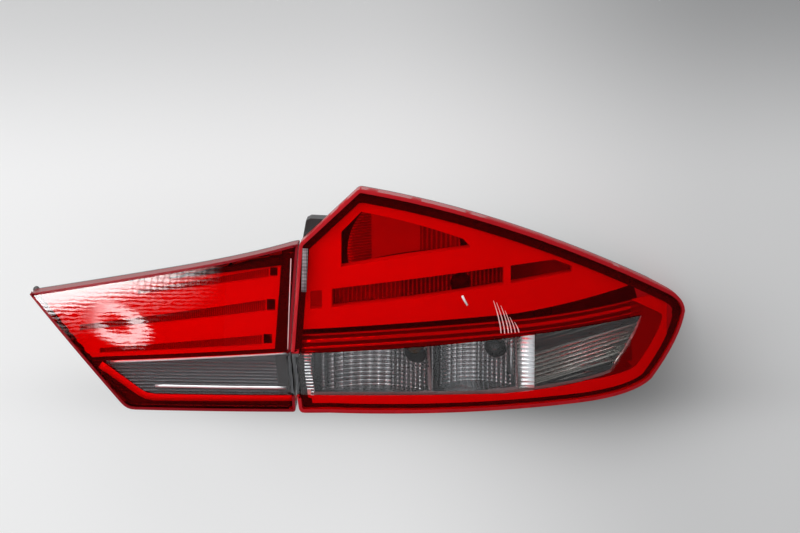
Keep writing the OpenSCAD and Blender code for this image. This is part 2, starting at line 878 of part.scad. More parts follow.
module holder(at, collar) {
  flange_y = collar + ring_t;
  socket_end = flange_y + grip_t + socket_deep;
  difference() {
    union() {
      rod(at, holder_bore - 2 * seat_gap, collar - plug_len, flange_y + 1);
      rod(at, grip_d, flange_y, flange_y + grip_t);
      translate([at[0] - socket_w / 2 - socket_wall, flange_y + 1, at[1] - socket_h / 2 - socket_wall])
        cube([socket_w + 2 * socket_wall, grip_t + socket_deep - 1, socket_h + 2 * socket_wall]);
      // Grip wings either side of the socket
      translate([at[0] - grip_d / 2 + 1, flange_y + 1, at[1] - 1.5]) cube([grip_d - 2, grip_t + 5, 3]);
    }
    rod(at, base_d + 2 * seat_gap, collar - plug_len - 1, collar - base_sink + seat_gap);
    translate([at[0] - socket_w / 2, flange_y + grip_t, at[1] - socket_h / 2])
      cube([socket_w, socket_deep + 1, socket_h]);
    for (side = [-1, 1]) terminal(at, collar, side, seat_gap / 2);
  }
}

// Flat terminal that stands in a socket's floor
terminal_w = 2.8;
terminal_t = 0.8;
terminal_gap = 6;
terminal_sink = 4;
terminal_out = 10;

module terminal(at, collar, side, grow = 0) {
  floor_y = collar + ring_t + grip_t;
  translate([at[0] + side * terminal_gap / 2 - terminal_w / 2 - grow, floor_y - terminal_sink - grow,
    at[1] - terminal_t / 2 - grow])
    cube([terminal_w + 2 * grow, terminal_sink + terminal_out + grow, terminal_t + 2 * grow]);
}

module stop_holder() { color(black_plastic) framed() holder(stop_at, outer_collar); }
module indicator_holder() { color(black_plastic) framed() holder(indicator_at, outer_collar); }
module reversing_holder() { color(black_plastic) framed() holder(reversing_at, outer_collar); }
module inner_tail_holder() { color(black_plastic) framed() holder(inner_tail_at, inner_collar); }

module holder_terminals() {
  color("goldenrod") framed() for (side = [-1, 1]) {
    for (at = outer_bulbs) terminal(at, outer_collar, side);
    terminal(inner_tail_at, inner_collar, side);
  }
}

// Ring seals between the collars and the grip flanges
module ring_seal(at, collar) {
  translate([at[0], collar + ring_t / 2, at[1]]) rotate([-90, 0, 0])
    rotate_extrude($fn = 96) translate([holder_bore / 2 + 1.6, 0]) circle(r = ring_t / 2 - seat_gap / 4, $fn = 24);
}

module outer_holder_rings() { color(foam) framed() for (at = outer_bulbs) ring_seal(at, outer_collar); }
module inner_holder_ring() { color(foam) framed() ring_seal(inner_tail_at, inner_collar); }

// Boot-lid lamp's light panel: smooth bands with three ribbed slots and their end windows
panel_low = [[-300, 34], [-181, 45], [past, 57]];
slot_lines = [
  [[-150, 102.5], [-28, 119.5], [-28, 127.5], [-150, 106.5]],
  [[-205, 68], [-31, 88.6], [-31, 99], [-205, 73.5]],
  [[-186, 47.8], [-34, 57.8], [-34, 67], [-186, 52.6]]];
end_windows = [[-27, 120.3, 7, 8], [-30, 89.2, 8, 10.4], [-33, 58.6, 8, 9.2]];
slot_skirt = 5;
rib_depth = panel_depth + slot_skirt + seat_gap;

module slot_2d(i, grow = 0) { offset(delta = grow) polygon(slot_lines[i]); }
module end_window_2d(i, grow = 0) {
  w = end_windows[i];
  offset(delta = grow) translate([w[0], w[1]]) square([w[2], w[3]]);
}

module inner_light_panel() {
  color(panel_red) framed() difference() {
    union() {
      inner_part(panel_depth, panel_depth + panel_t) inner_panel_outline();
      inner_part(panel_depth, panel_depth + slot_skirt) intersection() {
        inner_tray(panel_t + panel_clear);
        union() for (i = [0:2]) {
          slot_2d(i, 1.2);
          end_window_2d(i, 1.2);
        }
      }
    }
    through() for (i = [0:2]) {
      slot_2d(i);
      end_window_2d(i);
    }
  }
}

module inner_panel_outline() {
  intersection() {
    inner_zone(panel_clear);
    above(panel_low);
  }
}

// Ribbed plates behind the slots: fine vertical ribs on a flat strip
module rib_plate(i) {
  line = slot_lines[i];
  x0 = line[0][0];
  x1 = line[1][0] - 1;
  z_mid = (line[0][1] + line[2][1]) / 2;
  mid_x = (x0 + x1) / 2;
  strip_t = 2;
  rib_t = 1;
  count = floor((x1 - x0) / fine_pitch);
  turn = asin(mid_x / inner_plan_r);
  // The plate is flat, so its ends stand nearer to the curved panel than its middle
  sag = pow((x1 - x0) / 2, 2) / (2 * inner_plan_r) + 0.45;
  color(silvered) framed() intersection() {
    translate([mid_x, face_y(inner_plan_r, mid_x, z_mid, rib_depth + rib_t + sag), z_mid])
      rotate([-face_slope(z_mid), 0, turn]) translate([-mid_x, 0, -30]) linear_extrude(60) union() {
        translate([x0 - 1, 0]) square([x1 - x0 + 2, strip_t]);
        for (k = [0:count - 1]) translate([x0 + k * fine_pitch, -rib_t]) square([fine_pitch / 2, rib_t + 0.1]);
      }
    through() intersection() {
      slot_2d(i, 1);
      inner_tray(panel_t + panel_clear);
    }
  }
}

module inner_rib_plate_upper() { rib_plate(0); }
module inner_rib_plate_middle() { rib_plate(1); }
module inner_rib_plate_lower() { rib_plate(2); }

// Reflector tray of the boot-lid lamp, which carries the light panel on its front edge
inner_tray_clear = flange_w + wall + panel_clear;
inner_floor = inner_back - 14;
// Bore of the tray that the small bulb stands in
tail_bore = bulb_hole_d + 4;

module inner_reflector() {
  color(silvered) framed() difference() {
    union() {
      difference() {
        before(inner_floor) inner_part(panel_depth + panel_t + seat_gap, deep) inner_tray();
        before(inner_floor - panel_t) inner_part(panel_depth - past, deep + past) inner_tray(panel_t);
      }
      for (p = inner_pads) rod(p[0], post_d, inner_floor - panel_t, p[1]);
    }
    rod(inner_tail_at, tail_bore, -past, inner_back);
    pad_holes(inner_pads);
  }
}

module inner_tray(inset = 0) {
  intersection() {
    inner_face(inner_tray_clear + inset);
    above([for (p = panel_low) p + [0, inset]]);
  }
}

// Dark fluted panel behind the boot-lid lamp's clear window
module inner_fluted_panel() {
  pitch = 2.95;
  sag = 0.7;
  r = (pitch * pitch / 4 + sag * sag) / (2 * sag);
  mid_x = -95;
  panel_mid_z = 26;
  plate_w = 220;
  plate_h = 90;
  plate_t = 3;
  flute_low = 15.5;
  turn = asin(mid_x / inner_plan_r);
  color("#3a3c42") framed() intersection() {
    translate([mid_x, face_y(inner_plan_r, mid_x, 0, panel_depth + 2), 0])
      rotate([-face_slope(panel_mid_z), 0, turn]) difference() {
        translate([-plate_w / 2, 0, -past]) cube([plate_w, plate_t, plate_h]);
        for (k = [-1:9]) translate([-plate_w / 2 - past, sag - r, flute_low + k * pitch])
          rotate([0, 90, 0]) cylinder(h = plate_w + 2 * past, r = r);
      }
    through() intersection() {
      inner_zone(panel_clear);
      below([for (p = panel_low) p + [0, -panel_clear]]);
    }
  }
}

outer_housing();
outer_lens_red();
outer_lens_clear();
outer_bezel();
outer_light_panel();
outer_light_band();
outer_stop_reflector();
outer_lower_reflector();
outer_reflector_screws();
outer_gasket();
outer_studs();
outer_vent();
stop_bulb();
indicator_bulb();
reversing_bulb();
stop_holder();
indicator_holder();
reversing_holder();
outer_holder_rings();
inner_housing();
inner_lens_red();
inner_lens_clear();
inner_bezel();
inner_light_panel();
inner_rib_plate_upper();
inner_rib_plate_middle();
inner_rib_plate_lower();
inner_fluted_panel();
inner_reflector();
inner_reflector_screws();
inner_gasket();
inner_studs();
inner_vent();
inner_tail_bulb();
inner_tail_holder();
inner_holder_ring();
holder_terminals();
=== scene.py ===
"""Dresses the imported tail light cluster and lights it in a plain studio."""

import logging
import math
from dataclasses import dataclass
from enum import Enum
from typing import Callable, Sequence

import bmesh
import bpy
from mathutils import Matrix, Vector


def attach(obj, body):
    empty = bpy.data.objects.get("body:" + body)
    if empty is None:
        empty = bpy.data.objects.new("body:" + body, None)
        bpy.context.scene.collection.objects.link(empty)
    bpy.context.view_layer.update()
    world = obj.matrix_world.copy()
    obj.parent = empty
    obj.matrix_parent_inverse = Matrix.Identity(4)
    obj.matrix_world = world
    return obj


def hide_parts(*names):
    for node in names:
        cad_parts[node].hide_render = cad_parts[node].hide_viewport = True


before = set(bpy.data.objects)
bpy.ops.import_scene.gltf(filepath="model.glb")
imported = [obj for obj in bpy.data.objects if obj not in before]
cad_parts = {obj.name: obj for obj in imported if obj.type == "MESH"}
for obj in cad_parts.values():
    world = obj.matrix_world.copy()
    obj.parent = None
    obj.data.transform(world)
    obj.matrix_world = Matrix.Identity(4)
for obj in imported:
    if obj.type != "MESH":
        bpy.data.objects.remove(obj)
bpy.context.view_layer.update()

LOG = logging.getLogger("tail_light_cluster")
MM = 0.001
ORIGIN = Vector((62.0, 121.0, 152.0))
IMAGE_SIZE = (800, 533)
Point = tuple[float, float]
Colour = tuple[float, float, float]


def place(x: float, y: float, z: float) -> Vector:
    """Turn lamp coordinates into the row frame.

    Args:
        x: Distance along the tail from the parting line, in millimetres.
        y: Distance behind the foremost line of the lenses, in millimetres.
        z: Height above the lenses' lower corner, in millimetres.

    Returns:
        The point in metres in the row frame.
    """
    return (Vector((x, y, z)) - ORIGIN) * MM


@dataclass(frozen=True)
class LampFace:
    """The double-curved face of a lamp, swept round a vertical axis behind it."""

    plan_r: float
    crown_r: float = 900.0
    crown_drop: float = 55.0

    @property
    def centre(self) -> float:
        """Return how far the crown's centre lies from the sweep's axis, in millimetres."""
        return self.plan_r - math.sqrt(self.crown_r**2 - self.crown_drop**2)

    def depth_at(self, x: float, y: float, z: float) -> float:
        """Return a point's depth behind the face, in millimetres."""
        reach = math.hypot(x, y - self.plan_r) - self.centre
        return self.crown_r - math.hypot(reach, z + self.crown_drop)

    def y_at(self, x: float, z: float, depth: float = 0.0) -> float:
        """Return the y of the surface at a depth behind the face, in millimetres.

        Args:
            x: Distance along the tail.
            z: Height.
            depth: Depth behind the face.

        Returns:
            The y in lamp coordinates.
        """
        radius = self.centre + math.sqrt((self.crown_r - depth) ** 2 - (z + self.crown_drop) ** 2)
        return self.plan_r - math.sqrt(radius * radius - x * x)

    def point(self, x: float, z: float, depth: float = 0.0) -> Vector:
        """Return the point of the surface at a depth behind the face, in the row frame."""
        return place(x, self.y_at(x, z, depth), z)


WING_FACE = LampFace(plan_r=640.0)
LID_FACE = LampFace(plan_r=1600.0)


class Ray(Enum):
    """Outputs of the Light Path node that the materials use."""

    CAMERA = "Is Camera Ray"
    SHADOW = "Is Shadow Ray"
    GLOSSY = "Is Glossy Ray"
    TRANSMISSION = "Is Transmission Ray"


class Graph:
    """A small helper that adds and joins shader nodes."""

    def __init__(self, tree: bpy.types.NodeTree) -> None:
        """Keep the tree that the nodes go into."""
        self.tree = tree

    def add(self, kind: str, **values: object) -> bpy.types.Node:
        """Add a node and set its properties.

        Args:
            kind: Node type without its ShaderNode prefix, or a full name.
            **values: Properties of the node by name.

        Returns:
            The new node.
        """
        name = kind if kind.startswith("Node") else "ShaderNode" + kind
        node = self.tree.nodes.new(name)
        for key, value in values.items():
            setattr(node, key, value)
        return node

    def join(self, source: bpy.types.NodeSocket, target: bpy.types.NodeSocket) -> None:
        """Link one socket to another."""
        self.tree.links.new(source, target)

    def math(self, operation: str, *values: "bpy.types.NodeSocket | float") -> bpy.types.NodeSocket:
        """Add a maths node.

        Args:
            operation: Its operation.
            values: What goes in: sockets to join, or numbers.

        Returns:
            Its result.
        """
        node = self.add("Math", operation=operation)
        for socket, value in zip(node.inputs, values):
            if isinstance(value, bpy.types.NodeSocket):
                self.join(value, socket)
            else:
                socket.default_value = value
        return node.outputs[0]

    def ramp(self, value: bpy.types.NodeSocket, start: float, end: float, low: float = 0.0,
             high: float = 1.0) -> bpy.types.NodeSocket:
        """Add a soft step from low to high as the value goes from start to end.

        Args:
            value: The value that is mapped.
            start: The value at which the result is low.
            end: The value at which it is high.
            low: The result at the start.
            high: The result at the end.

        Returns:
            The result.
        """
        node = self.add("MapRange", interpolation_type="SMOOTHSTEP")
        self.join(value, node.inputs["Value"])
        for key, number in zip(("From Min", "From Max", "To Min", "To Max"), (start, end, low, high)):
            node.inputs[key].default_value = number
        return node.outputs["Result"]


class EffectGroups:
    """Shader node groups that several materials share."""

    def __init__(self) -> None:
        """Build each group once."""
        self.moulded = self._build_moulded()
        self.tint = self._build_tint()
        self.flutes = self._build_flutes()

    @staticmethod
    def _sockets(tree: bpy.types.NodeTree, inputs: Sequence[tuple], outputs: Sequence[tuple]) -> None:
        """Make a group's sockets.

        Args:
            tree: The group.
            inputs: Name, socket type and default of each input.
            outputs: Name and socket type of each output.
        """
        for name, kind, value in inputs:
            tree.interface.new_socket(name, in_out="INPUT", socket_type=kind).default_value = value
        for name, kind in outputs:
            tree.interface.new_socket(name, in_out="OUTPUT", socket_type=kind)

    def _build_moulded(self) -> bpy.types.NodeTree:
        """Return the group for a moulded plastic surface: texture height and uneven roughness."""
        tree = bpy.data.node_groups.new("moulded_surface", "ShaderNodeTree")
        self._sockets(tree, [("Grain Size", "NodeSocketFloat", 900.0), ("Flow Size", "NodeSocketFloat", 30.0),
                             ("Roughness", "NodeSocketFloat", 0.4), ("Spread", "NodeSocketFloat", 0.1)],
                      [("Height", "NodeSocketFloat"), ("Roughness", "NodeSocketFloat")])
        graph = Graph(tree)
        start = graph.add("NodeGroupInput")
        end = graph.add("NodeGroupOutput")
        coords = graph.add("TexCoord")
        grain = graph.add("TexNoise")
        grain.inputs["Detail"].default_value = 2.0
        flow = graph.add("TexNoise")
        flow.inputs["Detail"].default_value = 3.0
        graph.join(coords.outputs["Object"], grain.inputs["Vector"])
        graph.join(coords.outputs["Object"], flow.inputs["Vector"])
        graph.join(start.outputs["Grain Size"], grain.inputs["Scale"])
        graph.join(start.outputs["Flow Size"], flow.inputs["Scale"])
        graph.join(grain.outputs["Fac"], end.inputs["Height"])
        centred = graph.add("Math", operation="SUBTRACT")
        centred.inputs[1].default_value = 0.5
        graph.join(flow.outputs["Fac"], centred.inputs[0])
        spread = graph.add("Math", operation="MULTIPLY_ADD")
        graph.join(centred.outputs[0], spread.inputs[0])
        graph.join(start.outputs["Spread"], spread.inputs[1])
        graph.join(start.outputs["Roughness"], spread.inputs[2])
        graph.join(spread.outputs[0], end.inputs["Roughness"])
        return tree

    def _build_tint(self) -> bpy.types.NodeTree:
        """Return the group that varies a colour a little between two shades."""
        tree = bpy.data.node_groups.new("shade_variation", "ShaderNodeTree")
        self._sockets(tree, [("Colour", "NodeSocketColor", (0.5, 0.5, 0.5, 1.0)),
                             ("Shade", "NodeSocketColor", (0.4, 0.4, 0.4, 1.0)),
                             ("Size", "NodeSocketFloat", 12.0)],
                      [("Colour", "NodeSocketColor")])
        graph = Graph(tree)
        start = graph.add("NodeGroupInput")
        end = graph.add("NodeGroupOutput")
        coords = graph.add("TexCoord")
        cloud = graph.add("TexNoise")
        cloud.inputs["Detail"].default_value = 4.0
        mix = graph.add("Mix", data_type="RGBA")
        graph.join(coords.outputs["Object"], cloud.inputs["Vector"])
        graph.join(start.outputs["Size"], cloud.inputs["Scale"])
        graph.join(cloud.outputs["Fac"], mix.inputs["Factor"])
        graph.join(start.outputs["Colour"], mix.inputs["A"])
        graph.join(start.outputs["Shade"], mix.inputs["B"])
        graph.join(mix.outputs["Result"], end.inputs["Colour"])
        return tree


    def _build_flutes(self) -> bpy.types.NodeTree:
        """Return the group for rows of half-round flutes along X or Z inside a range of X, with a valley factor for
        painted shade in their valleys.
        """
        tree = bpy.data.node_groups.new("optic_flutes", "ShaderNodeTree")
        self._sockets(tree, [("Pitch", "NodeSocketFloat", 4.0), ("Upright", "NodeSocketFloat", 1.0),
                             ("From X", "NodeSocketFloat", 0.0), ("To X", "NodeSocketFloat", 0.1)],
                      [("Height", "NodeSocketFloat"), ("Painted Valley Shade", "NodeSocketFloat")])
        graph = Graph(tree)
        start = graph.add("NodeGroupInput")
        end = graph.add("NodeGroupOutput")
        coords = graph.add("TexCoord")
        split = graph.add("SeparateXYZ")
        graph.join(coords.outputs["Object"], split.inputs[0])
        across = graph.add("Math", operation="SUBTRACT")
        graph.join(split.outputs["X"], across.inputs[0])
        graph.join(start.outputs["From X"], across.inputs[1])
        along = graph.add("Mix", data_type="FLOAT")
        graph.join(start.outputs["Upright"], along.inputs["Factor"])
        graph.join(split.outputs["Z"], along.inputs["A"])
        graph.join(across.outputs[0], along.inputs["B"])
        count = graph.add("Math", operation="DIVIDE")
        graph.join(along.outputs["Result"], count.inputs[0])
        graph.join(start.outputs["Pitch"], count.inputs[1])
        wave = graph.add("Math", operation="PINGPONG")
        wave.inputs[1].default_value = 0.5
        graph.join(count.outputs[0], wave.inputs[0])
        round_top = graph.add("Math", operation="POWER")
        round_top.inputs[1].default_value = 2.0
        graph.join(wave.outputs[0], round_top.inputs[0])
        after = graph.add("Math", operation="GREATER_THAN")
        graph.join(split.outputs["X"], after.inputs[0])
        graph.join(start.outputs["From X"], after.inputs[1])
        until = graph.add("Math", operation="LESS_THAN")
        graph.join(split.outputs["X"], until.inputs[0])
        graph.join(start.outputs["To X"], until.inputs[1])
        inside = graph.add("Math", operation="MULTIPLY")
        graph.join(after.outputs[0], inside.inputs[0])
        graph.join(until.outputs[0], inside.inputs[1])
        height = graph.add("Math", operation="MULTIPLY")
        graph.join(round_top.outputs[0], height.inputs[0])
        graph.join(inside.outputs[0], height.inputs[1])
        graph.join(height.outputs[0], end.inputs["Height"])
        # Painted shade: one in the flutes' valleys, zero on their crowns and zero outside the range
        depth = graph.add("Math", operation="MULTIPLY_ADD")
        depth.inputs[1].default_value = -4.0
        depth.inputs[2].default_value = 1.0
        graph.join(round_top.outputs[0], depth.inputs[0])
        valley_shade_paint = graph.add("Math", operation="MULTIPLY")
        graph.join(depth.outputs[0], valley_shade_paint.inputs[0])
        graph.join(inside.outputs[0], valley_shade_paint.inputs[1])
        graph.join(valley_shade_paint.outputs[0], end.inputs["Painted Valley Shade"])
        return tree


@dataclass(frozen=True)
class Flutes:
    """Rows of flutes on a reflector, in millimetres and lamp coordinates."""

    pitch: float
    upright: bool
    from_x: float
    to_x: float
    height: float = 0.5
    # How far the colour is darkened in the flutes' valleys: painted shade
    shading: float = 0.0


@dataclass(frozen=True)
class Finish:
    """An opaque moulded, metal or rubber finish."""

    name: str
    colour: Colour
    shade: Colour
    roughness: float = 0.4
    spread: float = 0.1
    metallic: float = 0.0
    coat: float = 0.0
    grain_size: float = 900.0
    grain_height: float = 0.02
    tint_size: float = 12.0
    specular: float = 0.5
    flutes: tuple[Flutes, ...] = ()

    def material(self, groups: EffectGroups) -> bpy.types.Material:
        """Build the finish's material.

        Args:
            groups: The shared effect groups.

        Returns:
            The new material.
        """
        material = bpy.data.materials.new(self.name)
        material.use_nodes = True
        graph = Graph(material.node_tree)
        shader = material.node_tree.nodes["Principled BSDF"]
        shader.inputs["Metallic"].default_value = self.metallic
        shader.inputs["Coat Weight"].default_value = self.coat
        shader.inputs["Coat Roughness"].default_value = 0.05
        shader.inputs["Specular IOR Level"].default_value = self.specular
        tint = graph.add("Group", node_tree=groups.tint)
        tint.inputs["Colour"].default_value = (*self.colour, 1.0)
        tint.inputs["Shade"].default_value = (*self.shade, 1.0)
        tint.inputs["Size"].default_value = self.tint_size
        colour = tint.outputs["Colour"]
        moulded = graph.add("Group", node_tree=groups.moulded)
        moulded.inputs["Roughness"].default_value = self.roughness
        moulded.inputs["Spread"].default_value = self.spread
        moulded.inputs["Grain Size"].default_value = self.grain_size
        graph.join(moulded.outputs["Roughness"], shader.inputs["Roughness"])
        bump = graph.add("Bump")
        bump.inputs["Strength"].default_value = self.grain_height * 10.0
        bump.inputs["Distance"].default_value = 0.0001
        graph.join(moulded.outputs["Height"], bump.inputs["Height"])
        normal = bump.outputs["Normal"]
        for rows in self.flutes:
            flute = graph.add("Group", node_tree=groups.flutes)
            flute.inputs["Pitch"].default_value = rows.pitch * MM
            flute.inputs["Upright"].default_value = float(rows.upright)
            flute.inputs["From X"].default_value = (rows.from_x - ORIGIN.x) * MM
            flute.inputs["To X"].default_value = (rows.to_x - ORIGIN.x) * MM
            # Painted shade: the colour is mixed towards black in the flutes' valleys
            if rows.shading:
                share = graph.add("Math", operation="MULTIPLY")
                share.inputs[1].default_value = rows.shading
                graph.join(flute.outputs["Painted Valley Shade"], share.inputs[0])
                darker = graph.add("Mix", data_type="RGBA")
                darker.inputs["B"].default_value = (0.01, 0.01, 0.01, 1.0)
                graph.join(share.outputs[0], darker.inputs["Factor"])
                graph.join(colour, darker.inputs["A"])
                colour = darker.outputs["Result"]
            relief = graph.add("Bump")
            relief.inputs["Strength"].default_value = 1.0
            relief.inputs["Distance"].default_value = rows.height * 4.0 * MM
            graph.join(flute.outputs["Height"], relief.inputs["Height"])
            graph.join(normal, relief.inputs["Normal"])
            normal = relief.outputs["Normal"]
        graph.join(colour, shader.inputs["Base Color"])
        graph.join(normal, shader.inputs["Normal"])
        return material


@dataclass(frozen=True)
class LensFinish:
    """A clear or tinted lens plastic that lets lamps' light through to what is behind it."""

    name: str
    colour: Colour
    shade: Colour
    shadow: Colour
    roughness: float = 0.02
    ior: float = 1.49

    def material(self, groups: EffectGroups) -> bpy.types.Material:
        """Build the lens material.

        Args:
            groups: The shared effect groups.

        Returns:
            The new material.
        """
        material = bpy.data.materials.new(self.name)
        material.use_nodes = True
        nodes = material.node_tree.nodes
        graph = Graph(material.node_tree)
        shader = nodes["Principled BSDF"]
        shader.inputs["Transmission Weight"].default_value = 1.0
        shader.inputs["IOR"].default_value = self.ior
        tint = graph.add("Group", node_tree=groups.tint)
        tint.inputs["Colour"].default_value = (*self.colour, 1.0)
        tint.inputs["Shade"].default_value = (*self.shade, 1.0)
        tint.inputs["Size"].default_value = 8.0
        graph.join(tint.outputs["Colour"], shader.inputs["Base Color"])
        moulded = graph.add("Group", node_tree=groups.moulded)
        moulded.inputs["Roughness"].default_value = self.roughness
        moulded.inputs["Spread"].default_value = self.roughness * 0.8
        moulded.inputs["Grain Size"].default_value = 140.0
        graph.join(moulded.outputs["Roughness"], shader.inputs["Roughness"])
        bump = graph.add("Bump")
        bump.inputs["Strength"].default_value = 0.04
        bump.inputs["Distance"].default_value = 0.0004
        graph.join(moulded.outputs["Height"], bump.inputs["Height"])
        graph.join(bump.outputs["Normal"], shader.inputs["Normal"])
        path = graph.add("LightPath")
        clear = graph.add("BsdfTransparent")
        clear.inputs["Color"].default_value = (*self.shadow, 1.0)
        mix = graph.add("MixShader")
        graph.join(path.outputs[Ray.SHADOW.value], mix.inputs["Fac"])
        graph.join(shader.outputs["BSDF"], mix.inputs[1])
        graph.join(clear.outputs["BSDF"], mix.inputs[2])
        graph.join(mix.outputs["Shader"], nodes["Material Output"].inputs["Surface"])
        return material


class Finishes:
    """Every finish of the cluster, each built once."""

    def __init__(self) -> None:
        """Build the groups and the materials."""
        self.groups = EffectGroups()
        self.housing = self._solid("housing_black", (0.018, 0.018, 0.019), (0.030, 0.030, 0.032), 0.48, 0.16)
        self.bezel = self._solid("bezel_black", (0.010, 0.008, 0.008), (0.016, 0.012, 0.012), 0.25, 0.08)
        self.panel = self._solid("light_panel_red", (0.92, 0.30, 0.27), (0.86, 0.26, 0.24), 0.35, 0.1)
        self.mirror = Finish("reflector_silvered", (0.86, 0.87, 0.89), (0.80, 0.81, 0.83), 0.07, 0.03, 1.0,
                             grain_size=300.0, grain_height=0.004,
                             flutes=(Flutes(2.9, False, -8.0, 20.0, 0.5, 0.85),
                                     Flutes(3.6, True, -8.0, 5.0, 0.4, 0.6))).material(self.groups)
        self.dish_left = Finish("reflector_indicator", (0.90, 0.92, 0.93), (0.50, 0.52, 0.53), 0.11, 0.03, 1.0,
                                grain_size=300.0, grain_height=0.004, tint_size=40.0,
                                flutes=(Flutes(8.5, True, 9.0, 84.0, 0.7, 0.55),
                                        Flutes(4.2, True, 84.0, 140.0, 0.6, 0.9))).material(self.groups)
        self.dish_right = Finish("reflector_reversing", (0.90, 0.92, 0.93), (0.50, 0.52, 0.53), 0.11, 0.03, 1.0,
                                 grain_size=300.0, grain_height=0.004, tint_size=40.0,
                                 flutes=(Flutes(5.6, True, 138.0, 166.0, 0.6, 0.5),
                                         Flutes(4.2, True, 166.0, 206.0, 0.6, 0.9))).material(self.groups)
        # The silvered wing is coloured dark grey: painted shade
        self.wing = Finish("reflector_wing_painted_shade", (0.24, 0.25, 0.24), (0.17, 0.15, 0.12), 0.07, 0.03, 0.95,
                           grain_size=300.0, grain_height=0.004, tint_size=16.0).material(self.groups)
        self.ridge = Finish("reflector_ridge", (0.80, 0.62, 0.60), (0.72, 0.55, 0.53), 0.18, 0.05, 0.75,
                            grain_size=300.0, grain_height=0.004).material(self.groups)
        # The stop reflector's last row has no relief: it is painted shade, darkest at x = 190 mm at the left of the
        # long slot's smooth part and fading to the right
        self.stop = Finish("reflector_stop", (0.95, 0.62, 0.58), (0.72, 0.40, 0.38), 0.2, 0.05, 0.35,
                           grain_size=300.0, grain_height=0.004, tint_size=60.0,
                           flutes=(Flutes(4.0, True, 30.8, 94.8, 0.6, 0.5), Flutes(4.0, True, 94.8, 190.0, 0.6, 0.85),
                                   Flutes(190.0, True, 190.0, 270.0, 0.0, 0.95))
                           ).material(self.groups)
        self.rib = Finish("rib_plate", (0.97, 0.60, 0.57), (0.80, 0.46, 0.44), 0.22, 0.05, 0.2,
                          grain_size=300.0, grain_height=0.004,
                          flutes=(Flutes(2.0, True, -240.0, -8.0, 0.3, 0.4),)).material(self.groups)
        self.cavity = Finish("reflector_cavity", (0.98, 0.66, 0.64), (0.74, 0.46, 0.45), 0.14, 0.05, 0.35,
                             grain_size=300.0, grain_height=0.004, tint_size=30.0,
                             flutes=(Flutes(4.4, True, 112.0, 190.0, 0.8, 0.7),
                                     Flutes(2.6, False, 30.0, 66.0, 0.5, 0.6))).material(self.groups)
        # A dark copy of the reflector's finish: painted shade on the ridge's recessed steps and the skirt below the
        # window
        self.shade = Finish("reflector_painted_shade", (0.16, 0.10, 0.10), (0.11, 0.06, 0.06), 0.3, 0.05, 0.6,
                            grain_size=300.0, grain_height=0.004).material(self.groups)
        # A mid-dark copy of the reflector's finish on the plate past the window's end: painted shade
        self.tip_painted_shade = Finish("reflector_tip_painted_shade", (0.34, 0.16, 0.17), (0.26, 0.12, 0.13), 0.3, 0.05, 0.4,
                                grain_size=300.0, grain_height=0.004).material(self.groups)
        # Pale pink streaks and lines on the lenses: painted highlight
        self.painted_highlight = Finish("lens_prism_painted_highlight", (0.96, 0.62, 0.62), (0.92, 0.42, 0.42), 0.35, 0.1,
                            grain_size=300.0, grain_height=0.004).material(self.groups)
        # Near-white finish of a small strip on the wing lens: painted highlight
        self.painted_glint = Finish("lens_painted_glint", (0.98, 0.94, 0.94), (0.96, 0.80, 0.80), 0.3, 0.05,
                            grain_size=300.0, grain_height=0.004).material(self.groups)
        # Whitish finish of the strip on the wing lens's left flange: painted reflection
        self.painted_edge_reflection = Finish("lens_edge_painted_reflection", (0.86, 0.76, 0.78), (0.30, 0.14, 0.17), 0.35, 0.1,
                              grain_size=400.0, grain_height=0.02, tint_size=200.0,
                              flutes=(Flutes(1.9, True, -4.0, 12.0, 0.2, 0.4),
                                      Flutes(3.1, False, -4.0, 12.0, 0.2, 0.55))).material(self.groups)
        self.facet = Finish("reflector_facet", (0.92, 0.93, 0.94), (0.84, 0.85, 0.86), 0.30, 0.06, 0.9,
                            grain_size=300.0, grain_height=0.004).material(self.groups)
        self.fluted = Finish("fluted_panel_grey", (0.075, 0.078, 0.082), (0.05, 0.052, 0.056), 0.25, 0.08, 0.6,
                             grain_size=400.0, grain_height=0.01).material(self.groups)
        self.steel = Finish("zinc_plated_steel", (0.62, 0.62, 0.60), (0.50, 0.50, 0.49), 0.32, 0.18, 1.0,
                            tint_size=90.0, grain_height=0.02).material(self.groups)
        self.foam = Finish("gasket_foam", (0.030, 0.030, 0.031), (0.016, 0.016, 0.017), 0.9, 0.1,
                           grain_size=1600.0, grain_height=0.25).material(self.groups)
        self.brass = Finish("terminal_tin", (0.72, 0.62, 0.42), (0.62, 0.52, 0.34), 0.28, 0.1, 1.0,
                            tint_size=150.0).material(self.groups)
        self.red_lens = LensFinish("lens_red", (0.78, 0.006, 0.010), (0.72, 0.005, 0.009),
                                   (0.95, 0.03, 0.03)).material(self.groups)
        self.red_rim = Finish("lens_rim_red", (0.58, 0.016, 0.024), (0.46, 0.010, 0.016), 0.25, 0.05,
                              grain_height=0.005, specular=0.06).material(self.groups)
        # The lid's rim is the same red plastic as the wing's rim, coloured darker: painted shade
        self.lid_rim_painted_shade = Finish("lens_rim_lid_painted_shade", (0.34, 0.012, 0.020), (0.24, 0.007, 0.012), 0.25, 0.05,
                              grain_height=0.005, specular=0.06).material(self.groups)
        self.clear_rim = Finish("lens_rim_clear", (0.34, 0.34, 0.35), (0.16, 0.16, 0.17), 0.3, 0.08,
                                grain_height=0.005, tint_size=300.0, specular=0.2,
                                flutes=(Flutes(1.2, True, -40.0, 20.0, 0.2, 0.85),)).material(self.groups)
        self.clear_lens = LensFinish("lens_clear", (0.95, 0.96, 0.965), (0.92, 0.93, 0.94),
                                     (0.95, 0.96, 0.97)).material(self.groups)
